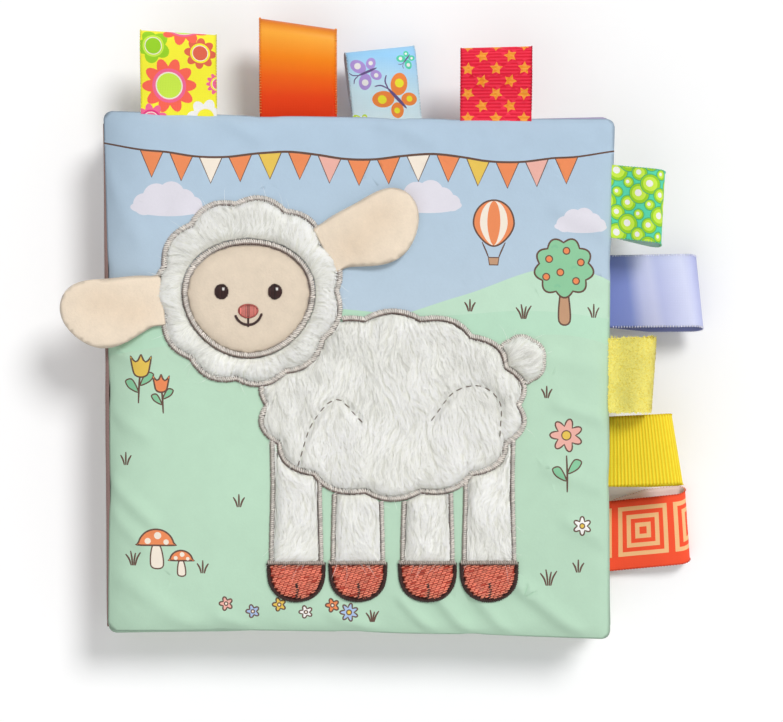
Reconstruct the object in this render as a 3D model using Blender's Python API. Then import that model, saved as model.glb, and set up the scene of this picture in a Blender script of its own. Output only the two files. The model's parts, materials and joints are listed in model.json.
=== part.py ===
"""Crinkle cloth book: four padded cloth leaves that turn at a cloth spine, a plush lamb sewn to the
front cover with two free ears, and nine ribbon loops caught in the leaf seams.

Metres, +Z up. The closed book lies on its back cover with the spine at -X and the head at +Y. The
origin is the middle of the flat that it lies on."""

import math

import bmesh
import bpy
from mathutils import Matrix, Vector

# Leaves
BOOK_WIDTH = 0.152  # spine seam to fore edge
BOOK_HEIGHT = 0.156  # tail seam to head seam
CORNER_RADIUS = 0.004
LEAF_THICKNESS = 0.0064  # one padded leaf at its crown
LEAF_GAP = 0.0004  # between two closed leaves
CLOTH = 0.0006  # printed polyester
FILM = 0.0002  # crackling polyester film
CLEARANCE = 0.0003  # between pieces that touch
PILLOW_RISE = 0.022  # from a seam to the flat of the crown
SIDE_DRAW = 0.0012  # how far a free side pulls in between its corners
BATTING_INSET = 0.004  # seam to the edge of the batting
SPINE_LAP = 0.0015  # spine cloth past the outer seams
CUT_OVERRUN = 0.004  # how far a cutter runs past what it cuts

# Squeaker in the front cover
SQUEAKER_RADIUS = 0.015
SQUEAKER_HEIGHT = 0.004
SQUEAKER_WALL = 0.0008
REED_RADIUS = 0.002
REED_HEIGHT = 0.0022
SQUEAKER_PLACE_SHARES = (0.13, -0.12)

# Ribbon loops
TAG_WIDTH = 0.0224
TAG_REACH = 0.024
RIBBON = 0.00045
TAG_ROOT = 0.0011  # both layers together at the seam
TAG_ROOT_LENGTH = 0.0022
TAG_HALF_GAP = 0.0034  # half the height of a loop

# Lamb
LAMB_FLEECE = 0.0034
LAMB_ROLL = 0.0035  # how far in from its edge a pad is rounded over
FACE_PAD = 0.0022
STITCH_RADIUS = 0.0009  # a satin-stitched border
HEAD_RADIUS = 0.028
FACE_WIDTH = 0.038
FACE_HEIGHT = 0.034
BODY_LENGTH = 0.080
BODY_DEPTH = 0.056
LEG_WIDTH = 0.0148
LEG_LENGTH = 0.019
HOOF_WIDTH = 0.0164
HOOF_HEIGHT = 0.011
HOOF_PAD = 0.0018
TAIL_RADIUS = 0.0078
EAR_LENGTH = 0.027
EAR_WIDTH = 0.0205
EAR_ROOT_WIDTH = 0.0150
EAR_THICKNESS = 0.003
EYE_RADIUS = 0.0019
NOSE_WIDTH = 0.0052
NOSE_HEIGHT = 0.0034
MOUTH_WIDTH = 0.0075
THREAD_PAD = 0.0006
THREAD_RADIUS = 0.0004

# Shares of the sizes above. A place is a share of half the book, or of half the piece it sits on.
HEAD_PLACE_SHARES = (-0.434, 0.321)
BODY_PLACE_SHARES = (0.132, -0.115)
FACE_DROP_SHARE = 0.08
FACE_TAPER_SHARE = 0.10
LOBE_SHARE = 0.065
PAD_RING_SHARES = ((1, 0), (0, 0), (0, 0.45), (0.3, 0.8), (1, 1))
MITRE_SHARE = 0.6
LEG_PLACE_SHARES = (-0.72, -0.26, 0.26, 0.72)
EYE_PLACE_SHARES = (0.42, 0.12)
NOSE_PLACE_SHARE = -0.22
MOUTH_PLACE_SHARE = -0.46
EAR_SWELL_SHARE = 0.55
EAR_STATION_SHARES = (0.0, 0.12, 0.3, 0.5, 0.68, 0.82, 0.92, 0.985)
EAR_EDGE_SHARE = 0.45
TAIL_SINK_SHARE = 0.35
HOOF_CORNER_SHARE = 0.6
CLOTH_RING_SHARES = (1.0, 0.65, 0.35, 0.12, 0.0)
BATTING_RING_SHARES = (1.0, 0.55, 0.22, 0.0)
SIDE_POINT_SHARES = (-0.5, 0.0, 0.5)
TAG_LAYER_SHARES = (0.0, 0.2, 0.45, 0.7, 0.9)

# Counts and angles
CORNER_STEPS = 3
HEAD_LOBES = 11
BODY_LOBES = 14
TAIL_LOBES = 6
LOBE_POINTS = 5
FACE_POINTS = 28
HOOF_POINTS = 9
SMALL_POINTS = 12
EAR_POINTS = 10
ROUND_POINTS = 16
ARC_POINTS = 5
LEFT_EAR_ANGLE = math.radians(186)
RIGHT_EAR_ANGLE = math.radians(28)
TAIL_ANGLE = math.radians(26)
SMILE_ANGLE = math.radians(70)

LEAVES = ("back_cover", "rear_leaf", "front_leaf", "front_cover")
FILMED_LEAVES = ("rear_leaf", "front_leaf")

# name: leaf, edge, then place along the edge as a share of its half, and width, reach, height and
# lean as shares of the sizes above, the lean of the reach
TAG_SHARES = {
    "flower_ribbon": ("front_cover", "head", -0.711, 1.04, 1.00, 1.00, 0.03),
    "orange_satin_ribbon": ("front_leaf", "head", -0.243, 1.04, 1.18, 1.15, 0.00),
    "blue_ribbon": ("rear_leaf", "head", 0.111, 0.94, 0.88, 1.00, -0.10),
    "star_ribbon": ("front_cover", "head", 0.542, 0.97, 0.91, 1.00, 0.00),
    "green_ribbon": ("front_cover", "fore", 0.663, 1.00, 0.61, 1.00, -0.13),
    "lilac_satin_ribbon": ("rear_leaf", "fore", 0.326, 1.00, 1.12, 1.15, -0.03),
    "yellow_plush_ribbon": ("front_cover", "fore", 0.004, 1.01, 0.62, 1.10, 0.00),
    "yellow_grosgrain_ribbon": ("front_leaf", "fore", -0.290, 0.97, 0.91, 1.00, -0.03),
    "square_ribbon": ("back_cover", "fore", -0.609, 1.00, 1.00, 0.92, 0.09),
}

# Colours, as linear shares of red, green and blue
SKY = (0.46, 0.60, 0.76)
MEADOW = (0.42, 0.70, 0.48)
WHITE_FLEECE = (0.80, 0.80, 0.74)
VELOUR = (0.78, 0.64, 0.47)
CORAL = (0.80, 0.16, 0.09)
TAUPE = (0.42, 0.34, 0.29)
DARK_BROWN = (0.05, 0.02, 0.015)
PINK = (0.75, 0.30, 0.24)
BATTING_WHITE = (0.85, 0.85, 0.85)
FILM_CLEAR = (0.75, 0.78, 0.82)
TAG_COLOURS = {
    "flower_ribbon": (0.90, 0.80, 0.03),
    "orange_satin_ribbon": (0.90, 0.17, 0.01),
    "blue_ribbon": (0.50, 0.75, 0.90),
    "star_ribbon": (0.75, 0.02, 0.05),
    "green_ribbon": (0.25, 0.72, 0.10),
    "lilac_satin_ribbon": (0.36, 0.36, 0.70),
    "yellow_plush_ribbon": (0.88, 0.68, 0.10),
    "yellow_grosgrain_ribbon": (0.88, 0.66, 0.02),
    "square_ribbon": (0.80, 0.06, 0.02),
}


def clear_scene():
    for thing in list(bpy.data.objects):
        bpy.data.objects.remove(thing)


def fabric(name, colour, roughness=0.85):
    """A plain dyed material of that colour."""
    made = bpy.data.materials.new(name)
    made.use_nodes = True
    shader = made.node_tree.nodes["Principled BSDF"]
    shader.inputs["Base Color"].default_value = (*colour, 1)
    shader.inputs["Roughness"].default_value = roughness
    shader.inputs["Metallic"].default_value = 0
    return made


def link(name, data, material, parent=None):
    thing = bpy.data.objects.new(name, data)
    bpy.context.scene.collection.objects.link(thing)
    if material is not None:
        data.materials.append(material)
    if parent is not None:
        thing.parent = parent
        thing.matrix_parent_inverse = parent.matrix_world.inverted()
    return thing


def empty(name, place, parent=None):
    """A pivot for a body that turns, at its joint's axis."""
    thing = link(name, None, None, parent)
    thing.matrix_world = Matrix.Translation(place)
    bpy.context.view_layer.update()
    return thing


def mesh_from_rings(name, rings, material, parent=None, closed_ends=True):
    """A solid whose skin joins rings of points in order. The first and last rings are capped, or joined
    to each other when closed_ends is false."""
    bm = bmesh.new()
    made = [[bm.verts.new(point) for point in ring] for ring in rings]
    pairs = list(zip(made, made[1:]))
    if closed_ends:
        bm.faces.new(made[0])
        bm.faces.new(made[-1])
    else:
        pairs.append((made[-1], made[0]))
    for first, second in pairs:
        for i in range(len(first)):
            j = (i + 1) % len(first)
            bm.faces.new((first[i], first[j], second[j], second[i]))
    bmesh.ops.recalc_face_normals(bm, faces=bm.faces)
    mesh = bpy.data.meshes.new(name)
    bm.to_mesh(mesh)
    bm.free()
    mesh.shade_smooth()
    mesh.set_sharp_from_angle(angle=math.radians(50))
    return link(name, mesh, material, parent)


def cut(thing, cutter):
    cutter.hide_render = True
    cutter.display_type = "WIRE"
    made = thing.modifiers.new("cut_" + cutter.name, "BOOLEAN")
    made.operation = "DIFFERENCE"
    made.object = cutter


def seam_height(leaf):
    """Height of the middle plane of a leaf in the closed book."""
    return LEAF_THICKNESS / 2 + LEAVES.index(leaf) * (LEAF_THICKNESS + LEAF_GAP)


def crown(inset):
    """Share of a leaf's swell that it has reached this far in from its seam: a quarter circle."""
    return math.sqrt(1 - (1 - min(max(inset / PILLOW_RISE, 0), 1)) ** 2)


def cloth_height(inset):
    """Height of a leaf's outside above its middle plane."""
    edge = CLEARANCE / 2 + CLOTH
    return edge + (LEAF_THICKNESS / 2 - edge) * crown(inset)


def cover_top(x, y):
    """Height of the front cover's outside."""
    inset = min(BOOK_WIDTH / 2 - abs(x), BOOK_HEIGHT / 2 - abs(y))
    return seam_height("front_cover") + cloth_height(inset)


def drawn_in(inset, share):
    """How far a free side lies inside its straight line, at this share of its half length."""
    return SIDE_DRAW * (1 - min(inset / PILLOW_RISE, 1)) * (1 - share**2)


def leaf_ring(inset, height):
    """A rounded rectangle inside the seam, with its three free sides drawn in and the spine side straight."""
    wide = BOOK_WIDTH / 2 - inset
    long = BOOK_HEIGHT / 2 - inset
    points = []
    corners = ((1, -1), (1, 1), (-1, 1), (-1, -1))
    for side, (right, up) in enumerate(corners):
        centre = (right * (wide - CORNER_RADIUS), up * (long - CORNER_RADIUS))
        for step in range(CORNER_STEPS + 1):
            angle = math.radians(90) * (side - 1 + step / CORNER_STEPS)
            points.append(
                (
                    centre[0] + CORNER_RADIUS * math.cos(angle),
                    centre[1] + CORNER_RADIUS * math.sin(angle),
                    height,
                )
            )
        for share in SIDE_POINT_SHARES:
            pull = drawn_in(inset, share)
            points.append(
                (
                    (wide - pull, share * (long - CORNER_RADIUS), height),
                    (-share * (wide - CORNER_RADIUS), long - pull, height),
                    (-wide, -share * (long - CORNER_RADIUS), height),
                    (share * (wide - CORNER_RADIUS), -long + pull, height),
                )[side]
            )
    return points


def leaf_cloth(name, leaf, up, material, parent):
    """One side of a leaf: a crowned sheet from its flat out to the seam, and back along its inside."""
    middle = seam_height(leaf)
    insets = [share * PILLOW_RISE for share in CLOTH_RING_SHARES]
    outside = [leaf_ring(i, middle + up * cloth_height(i)) for i in insets]
    inside = [leaf_ring(i, middle + up * (cloth_height(i) - CLOTH)) for i in reversed(insets)]
    return mesh_from_rings(name, outside + inside, material, parent)


def leaf_batting(name, leaf, material, parent):
    """The wadding that fills a leaf, thinner under it where a film lies."""
    middle = seam_height(leaf)
    under = CLEARANCE + FILM if leaf in FILMED_LEAVES else 0
    span = PILLOW_RISE - BATTING_INSET
    insets = [BATTING_INSET + share * span for share in BATTING_RING_SHARES]
    top = [leaf_ring(i, middle + cloth_height(i) - CLOTH - CLEARANCE) for i in insets]
    low = [leaf_ring(i, middle - cloth_height(i) + CLOTH + CLEARANCE + under) for i in reversed(insets)]
    return mesh_from_rings(name, top + low, material, parent)


def leaf_film(name, leaf, material, parent):
    """The flat sheet of film that crackles, between the wadding and the lower cloth."""
    low = seam_height(leaf) - LEAF_THICKNESS / 2 + CLOTH + CLEARANCE
    rings = [leaf_ring(PILLOW_RISE, low), leaf_ring(PILLOW_RISE, low + FILM)]
    return mesh_from_rings(name, rings, material, parent)


def spine_cloth(material):
    """The strip behind the leaves that joins the two covers."""
    outer = -BOOK_WIDTH / 2 - CLEARANCE - CLOTH
    inner = -BOOK_WIDTH / 2 - CLEARANCE
    half = BOOK_HEIGHT / 2 - CORNER_RADIUS
    low = seam_height("back_cover") - SPINE_LAP
    high = seam_height("front_cover") + SPINE_LAP
    rings = [
        [(outer, -half, z), (inner, -half, z), (inner, half, z), (outer, half, z)]
        for z in (low, high)
    ]
    return mesh_from_rings("spine_cloth", rings, material)


def round_ring(centre, radius, height, count=ROUND_POINTS):
    return [
        (
            centre[0] + radius * math.cos(math.tau * i / count),
            centre[1] + radius * math.sin(math.tau * i / count),
            height,
        )
        for i in range(count)
    ]


def squeaker(centre, material, parent):
    """A hollow plastic puck with a hole in its top, and the reed plug that sits in the hole."""
    middle = seam_height("front_cover")
    low = middle - SQUEAKER_HEIGHT / 2
    high = middle + SQUEAKER_HEIGHT / 2
    hole = REED_RADIUS + CLEARANCE
    hollow = SQUEAKER_RADIUS - SQUEAKER_WALL
    profile = (
        (hole, high),
        (SQUEAKER_RADIUS, high),
        (SQUEAKER_RADIUS, low),
        (hole, low),
        (hole, low + SQUEAKER_WALL),
        (hollow, low + SQUEAKER_WALL),
        (hollow, high - SQUEAKER_WALL),
        (hole, high - SQUEAKER_WALL),
    )
    rings = [round_ring(centre, radius, height) for radius, height in profile]
    mesh_from_rings("squeaker_bulb", rings, material, parent, closed_ends=False)
    plug = [round_ring(centre, REED_RADIUS, z) for z in (high - REED_HEIGHT, high)]
    mesh_from_rings("squeaker_reed", plug, material, parent)


def scalloped(centre, radii, lobes, grow=0):
    """A closed outline of round lobes on an ellipse, its radii grown by so much."""
    count = lobes * LOBE_POINTS
    points = []
    for i in range(count):
        angle = math.tau * i / count
        swell = 1 + LOBE_SHARE * (abs(math.sin(lobes * angle / 2)) - 1)
        points.append(
            (
                centre[0] + (radii[0] * swell + grow) * math.cos(angle),
                centre[1] + (radii[1] * swell + grow) * math.sin(angle),
            )
        )
    return points


def egg(centre, width, height, grow=0, count=FACE_POINTS):
    """An oval outline that is wider above than below."""
    points = []
    for i in range(count):
        angle = math.tau * i / count
        taper = 1 + FACE_TAPER_SHARE * math.sin(angle)
        points.append(
            (
                centre[0] + (width / 2 + grow) * taper * math.cos(angle),
                centre[1] + (height / 2 + grow) * math.sin(angle),
            )
        )
    return points


def drawn_outline(outline, inset):
    """The outline with each side moved in by so much, its corners mitred."""
    points = [Vector(p) for p in outline]
    moved = []
    for before, point, after in zip(points[-1:] + points[:-1], points, points[1:] + points[:1]):
        first = (point - before).normalized()
        second = (after - point).normalized()
        inward = Vector((-first.y - second.y, first.x + second.x)).normalized()
        mitre = max(inward.dot(Vector((-first.y, first.x))), MITRE_SHARE)
        moved.append(tuple(point + inward * inset / mitre))
    return moved


def draped_pad(name, outline, thickness, material, parent, lift=CLEARANCE, roll=LAMB_ROLL):
    """A soft pad of that outline, lying on the front cover and rounded over towards its edge."""
    rings = []
    for inset_share, height_share in PAD_RING_SHARES:
        flat = drawn_outline(outline, roll * inset_share)
        rings.append([(x, y, cover_top(x, y) + lift + thickness * height_share) for x, y in flat])
    return mesh_from_rings(name, rings, material, parent)


def cutter_prism(name, outline, parent):
    """A hidden prism through all that lies on the front cover, to cut one piece by another's outline."""
    low = seam_height("front_cover")
    high = low + LEAF_THICKNESS + LAMB_FLEECE + CUT_OVERRUN
    rings = [[(x, y, z) for x, y in outline] for z in (low, high)]
    return mesh_from_rings(name, rings, None, parent)


def stitch_cord(name, points, closed, radius, lift, material, parent):
    """A border of satin stitch, or a line of thread: a round cord along the points."""
    curve = bpy.data.curves.new(name, "CURVE")
    curve.dimensions = "3D"
    curve.bevel_depth = radius
    curve.bevel_resolution = 1
    curve.use_fill_caps = True
    spline = curve.splines.new("POLY")
    spline.points.add(len(points) - 1)
    spline.use_cyclic_u = closed
    for point, (x, y) in zip(spline.points, points):
        point.co = (x, y, cover_top(x, y) + lift + radius, 1)
    return link(name, curve, material, parent)


def half_book(shares):
    return shares[0] * BOOK_WIDTH / 2, shares[1] * BOOK_HEIGHT / 2


def ear(name, head, angle, material, parent):
    """A soft flap that swells and tapers from its root at the side of the head. Its pivot is on the root's
    upper edge, so that it folds over the face."""
    along = Vector((math.cos(angle), math.sin(angle), 0))
    across = Vector((-math.sin(angle), math.cos(angle), 0))
    start = HEAD_RADIUS + STITCH_RADIUS + CLEARANCE
    low = seam_height("front_cover") + LEAF_THICKNESS / 2 + CLEARANCE
    root = Vector((head[0], head[1], low + EAR_THICKNESS)) + along * start
    pivot = empty(name + "_pivot", root, parent)
    rings = []
    for share in EAR_STATION_SHARES:
        if share < EAR_SWELL_SHARE:
            swell = math.sin(math.radians(90) * share / EAR_SWELL_SHARE)
            wide = EAR_ROOT_WIDTH + (EAR_WIDTH - EAR_ROOT_WIDTH) * swell
        else:
            past = (share - EAR_SWELL_SHARE) / (1 - EAR_SWELL_SHARE)
            wide = EAR_WIDTH * math.sqrt(1 - past**2)
        fill = EAR_EDGE_SHARE + (1 - EAR_EDGE_SHARE) * math.sin(math.pi * share)
        thick = EAR_THICKNESS * min(fill, wide / EAR_WIDTH)
        middle = root + along * EAR_LENGTH * share - Vector((0, 0, EAR_THICKNESS / 2))
        rings.append(
            [
                middle
                + across * (wide / 2 * math.cos(math.tau * i / EAR_POINTS))
                + Vector((0, 0, thick / 2 * math.sin(math.tau * i / EAR_POINTS)))
                for i in range(EAR_POINTS)
            ]
        )
    return mesh_from_rings(name, rings, material, pivot)


def lamb(materials, parent):
    """The plush lamb: fleece head, body, legs and tail, a velour face, stitched hooves, and its borders."""
    fleece, velour, thread, dark, coral, pink = materials
    border = STITCH_RADIUS + CLEARANCE
    head = half_book(HEAD_PLACE_SHARES)
    head_radii = (HEAD_RADIUS, HEAD_RADIUS)
    body = half_book(BODY_PLACE_SHARES)
    body_radii = (BODY_LENGTH / 2, BODY_DEPTH / 2)
    face = (head[0], head[1] - FACE_DROP_SHARE * HEAD_RADIUS)

    face_hole = cutter_prism("face_hole", egg(face, FACE_WIDTH, FACE_HEIGHT, border), parent)
    head_cut = cutter_prism("head_cut", scalloped(head, head_radii, HEAD_LOBES, border), parent)
    body_cut = cutter_prism("body_cut", scalloped(body, body_radii, BODY_LOBES, border), parent)

    head_outline = scalloped(head, head_radii, HEAD_LOBES, -border)
    head_fleece = draped_pad("lamb_head_fleece", head_outline, LAMB_FLEECE, fleece, parent)
    cut(head_fleece, face_hole)
    body_outline = scalloped(body, body_radii, BODY_LOBES, -border)
    body_fleece = draped_pad("lamb_body_fleece", body_outline, LAMB_FLEECE, fleece, parent)
    cut(body_fleece, head_cut)
    face_outline = egg(face, FACE_WIDTH, FACE_HEIGHT, -border)
    draped_pad("lamb_face_velour", face_outline, FACE_PAD, velour, parent)

    tail = (
        body[0] + (body_radii[0] + TAIL_RADIUS * TAIL_SINK_SHARE) * math.cos(TAIL_ANGLE),
        body[1] + (body_radii[1] + TAIL_RADIUS * TAIL_SINK_SHARE) * math.sin(TAIL_ANGLE),
    )
    tail_outline = scalloped(tail, (TAIL_RADIUS, TAIL_RADIUS), TAIL_LOBES)
    cut(draped_pad("lamb_tail_fleece", tail_outline, LAMB_FLEECE, fleece, parent), body_cut)

    ankle = body[1] - BODY_DEPTH / 2 - LEG_LENGTH
    names = ("near_front", "far_front", "near_hind", "far_hind")
    for name, share in zip(names, LEG_PLACE_SHARES):
        x = body[0] + share * BODY_LENGTH / 2
        leg = [
            (x - LEG_WIDTH / 2, ankle),
            (x + LEG_WIDTH / 2, ankle),
            (x + LEG_WIDTH / 2, body[1]),
            (x - LEG_WIDTH / 2, body[1]),
        ]
        cut(draped_pad(f"lamb_{name}_leg", leg, LAMB_FLEECE, fleece, parent), body_cut)
        top = ankle - CLEARANCE
        hoof = [
            (
                x - HOOF_WIDTH / 2 * math.cos(math.pi * i / (HOOF_POINTS - 1)),
                top - HOOF_HEIGHT * math.sin(math.pi * i / (HOOF_POINTS - 1)) ** HOOF_CORNER_SHARE,
            )
            for i in range(HOOF_POINTS)
        ]
        draped_pad(f"lamb_{name}_hoof", hoof, HOOF_PAD, coral, parent)

    head_line = scalloped(head, head_radii, HEAD_LOBES)
    stitch_cord("head_border_stitch", head_line, True, STITCH_RADIUS, CLEARANCE, thread, parent)
    face_line = egg(face, FACE_WIDTH, FACE_HEIGHT)
    stitch_cord("face_border_stitch", face_line, True, STITCH_RADIUS, CLEARANCE, thread, parent)
    body_line = scalloped(body, body_radii, BODY_LOBES)
    keep_off = HEAD_RADIUS + 2 * STITCH_RADIUS + CLEARANCE
    free = [math.dist(p, head) > keep_off for p in body_line]
    first = next(i for i in range(len(free)) if free[i] and not free[i - 1])
    turned = zip(body_line[first:] + body_line[:first], free[first:] + free[:first])
    body_line = [point for point, out in turned if out]
    stitch_cord("body_border_stitch", body_line, False, STITCH_RADIUS, CLEARANCE, thread, parent)

    on_face = CLEARANCE + FACE_PAD + CLEARANCE
    for name, side in (("left_eye_stitch", -1), ("right_eye_stitch", 1)):
        eye = (
            face[0] + side * EYE_PLACE_SHARES[0] * FACE_WIDTH / 2,
            face[1] + EYE_PLACE_SHARES[1] * FACE_HEIGHT / 2,
        )
        outline = [p[:2] for p in round_ring(eye, EYE_RADIUS, 0, SMALL_POINTS)]
        draped_pad(name, outline, THREAD_PAD, dark, parent, on_face, THREAD_PAD)
    nose = (face[0], face[1] + NOSE_PLACE_SHARE * FACE_HEIGHT / 2)
    nose_outline = egg(nose, NOSE_WIDTH, NOSE_HEIGHT, 0, SMALL_POINTS)
    draped_pad("nose_stitch", nose_outline, THREAD_PAD, pink, parent, on_face, THREAD_PAD)
    mouth = (face[0], face[1] + MOUTH_PLACE_SHARE * FACE_HEIGHT / 2)
    bend = MOUTH_WIDTH / 2 / math.sin(SMILE_ANGLE)
    smile = [
        (
            mouth[0] + bend * math.sin(SMILE_ANGLE * (2 * i / (SMALL_POINTS - 1) - 1)),
            mouth[1] + bend * (1 - math.cos(SMILE_ANGLE * (2 * i / (SMALL_POINTS - 1) - 1))),
        )
        for i in range(SMALL_POINTS)
    ]
    stitch_cord("mouth_stitch", smile, False, THREAD_RADIUS, on_face, dark, parent)

    ear("left_ear", head, LEFT_EAR_ANGLE, velour, parent)
    ear("right_ear", head, RIGHT_EAR_ANGLE, velour, parent)


def seam_reach(edge, place, width):
    """How far out the seam lies along a ribbon's root, where it lies furthest out."""
    half = (BOOK_WIDTH if edge == "head" else BOOK_HEIGHT) / 2 - CORNER_RADIUS
    out = (BOOK_HEIGHT if edge == "head" else BOOK_WIDTH) / 2
    ends = (abs(place) + width / 2) / half
    return out - drawn_in(0, min(ends, 1))


def ribbon_loop(name, material, pivots):
    """A ribbon folded into a loop, its two ends sewn together in the seam. Its pivot lies on the seam."""
    leaf, edge, place_share, width_share, reach_share, gap_share, lean_share = TAG_SHARES[name]
    width = TAG_WIDTH * width_share
    reach = TAG_REACH * reach_share
    half_gap = TAG_HALF_GAP * gap_share
    straight = reach - half_gap
    place = place_share * (BOOK_WIDTH if edge == "head" else BOOK_HEIGHT) / 2
    out = seam_reach(edge, place, width) + CLEARANCE + TAG_ROOT / 2
    root = (place, out) if edge == "head" else (out, place)
    pivot = empty(name + "_pivot", (*root, seam_height(leaf)), pivots[leaf])

    def layer(share, inset):
        """A point on the lower layer: it leaves the seam flat, swells, and runs level into the fold."""
        swell = TAG_ROOT / 2 + (half_gap - TAG_ROOT / 2) * math.sin(math.radians(90) * share) ** 2
        start = TAG_ROOT_LENGTH if inset else 0
        return start + (straight - start) * share, -(swell - inset)

    def loop(inset):
        low = [layer(share, inset) for share in TAG_LAYER_SHARES]
        fold = []
        for i in range(ARC_POINTS):
            angle = math.pi * (i / (ARC_POINTS - 1) - 0.5)
            radius = half_gap - inset
            fold.append((straight + radius * math.cos(angle), radius * math.sin(angle)))
        high = [(s, -z) for s, z in reversed(low)]
        return low + fold + high

    rings = []
    for inset, side in ((0, -1), (0, 1), (RIBBON, 1), (RIBBON, -1)):
        ring = []
        for s, z in loop(inset):
            t = side * width / 2 + lean_share * s
            flat = (root[0] + t, root[1] + s) if edge == "head" else (root[0] + s, root[1] + t)
            ring.append((*flat, seam_height(leaf) + z))
        rings.append(ring)
    return mesh_from_rings(name, rings, material, pivot, closed_ends=False)


def main():
    clear_scene()
    printed = fabric("printed_cloth", MEADOW)
    lining = fabric("page_cloth", SKY)
    batting = fabric("batting", BATTING_WHITE, 1)
    film = fabric("crinkle_film", FILM_CLEAR, 0.25)
    plastic = fabric("squeaker_plastic", BATTING_WHITE, 0.4)

    spine_middle = (seam_height("back_cover") + seam_height("front_cover")) / 2
    axis = (-BOOK_WIDTH / 2 - CLEARANCE - CLOTH / 2, 0, spine_middle)
    pivots = {}
    parent = None
    for leaf in LEAVES:
        pivots[leaf] = parent = empty(leaf + "_pivot", axis, parent)
        leaf_cloth(leaf + "_upper_cloth", leaf, 1, printed if leaf == "front_cover" else lining, parent)
        leaf_cloth(leaf + "_lower_cloth", leaf, -1, printed if leaf == "back_cover" else lining, parent)
        filling = leaf_batting(leaf + "_batting", leaf, batting, parent)
        if leaf in FILMED_LEAVES:
            leaf_film(leaf + "_crinkle_film", leaf, film, parent)
    spine_cloth(printed)

    centre = half_book(SQUEAKER_PLACE_SHARES)
    middle = seam_height("front_cover")
    pocket_rings = [
        round_ring(centre, SQUEAKER_RADIUS + CLEARANCE, middle + side * LEAF_THICKNESS) for side in (-1, 1)
    ]
    pocket = mesh_from_rings("squeaker_pocket", pocket_rings, None, parent)
    cut(filling, pocket)
    squeaker(centre, plastic, parent)

    lamb(
        (
            fabric("fleece", WHITE_FLEECE),
            fabric("velour", VELOUR),
            fabric("border_thread", TAUPE, 0.6),
            fabric("dark_thread", DARK_BROWN, 0.6),
            fabric("hoof_thread", CORAL, 0.6),
            fabric("nose_thread", PINK, 0.6),
        ),
        parent,
    )
    for name, colour in TAG_COLOURS.items():
        ribbon_loop(name, fabric(name + "_cloth", colour, 0.5), pivots)


main()
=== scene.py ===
import functools
import json
import math

import bpy
import numpy as np
from mathutils.geometry import delaunay_2d_cdt
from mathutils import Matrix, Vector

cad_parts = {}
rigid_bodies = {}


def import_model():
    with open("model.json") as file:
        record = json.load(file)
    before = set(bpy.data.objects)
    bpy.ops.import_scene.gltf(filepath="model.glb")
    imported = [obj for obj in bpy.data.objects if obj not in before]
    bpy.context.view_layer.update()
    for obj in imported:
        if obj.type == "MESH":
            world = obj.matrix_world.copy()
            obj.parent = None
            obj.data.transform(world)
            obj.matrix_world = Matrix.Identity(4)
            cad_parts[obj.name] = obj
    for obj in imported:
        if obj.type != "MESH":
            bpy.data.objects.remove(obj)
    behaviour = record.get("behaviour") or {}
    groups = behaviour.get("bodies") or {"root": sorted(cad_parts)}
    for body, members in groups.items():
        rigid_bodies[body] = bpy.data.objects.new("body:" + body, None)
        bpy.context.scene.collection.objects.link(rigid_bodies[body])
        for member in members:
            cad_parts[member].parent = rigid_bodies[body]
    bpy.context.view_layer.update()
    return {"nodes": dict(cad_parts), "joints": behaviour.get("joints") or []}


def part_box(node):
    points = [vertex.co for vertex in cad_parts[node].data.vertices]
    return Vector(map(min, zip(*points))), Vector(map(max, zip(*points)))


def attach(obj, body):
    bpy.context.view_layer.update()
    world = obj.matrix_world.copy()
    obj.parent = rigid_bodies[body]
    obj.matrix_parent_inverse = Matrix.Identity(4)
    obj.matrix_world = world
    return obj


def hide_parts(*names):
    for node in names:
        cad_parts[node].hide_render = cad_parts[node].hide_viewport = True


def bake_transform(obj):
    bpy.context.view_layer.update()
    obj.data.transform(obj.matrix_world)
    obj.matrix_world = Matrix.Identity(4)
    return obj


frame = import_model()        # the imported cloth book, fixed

bl_info = {
    "name": "Crinkle cloth book",
    "version": (1, 0, 0),
    "blender": (4, 5, 0),
    "location": "3D View > Sidebar > Cloth Book",
    "description": "Dresses the padded leaves, ribbon loops and plush sheep of a crinkle cloth book",
    "category": "Object",
}

LEAVES = ("back_cover", "rear_leaf", "front_leaf", "front_cover")
JOINTS = {joint["name"]: joint for joint in frame["joints"]}
MM = 0.001
CLEAR_OF_EDGE = 0.45

# Sizes that the solids set, in metres
HALF_WIDTH, HALF_HEIGHT = 0.076, 0.078
CORNER_RADIUS = 0.0026
HALF_LEAF = 0.0032
STITCH_RADIUS = 0.0009
HEAD, HEAD_RADIUS, HEAD_LOBES = np.array((-0.03298, 0.02504)), 0.028, 11
FACE, FACE_SIZE = np.array((-0.03298, 0.02280)), (0.038, 0.034)
BODY, BODY_RADII, BODY_LOBES = np.array((0.01003, -0.00897)), (0.040, 0.028), 14
TAIL_RADIUS, TAIL_LOBES, TAIL_SINK, TAIL_ANGLE = 0.0078, 6, 0.35, math.radians(26)
LEG_WIDTH, HOOF_WIDTH, HOOF_HEIGHT = 0.0148, 0.0164, 0.011
LEG_SHARES = {"near_front": -0.72, "far_front": -0.26, "near_hind": 0.26, "far_hind": 0.72}
ANKLE = float(BODY[1]) - 0.028 - 0.019
EAR_LENGTH, EAR_WIDTH, EAR_ROOT_WIDTH, EAR_THICKNESS = 0.027, 0.0205, 0.015, 0.003

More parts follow.
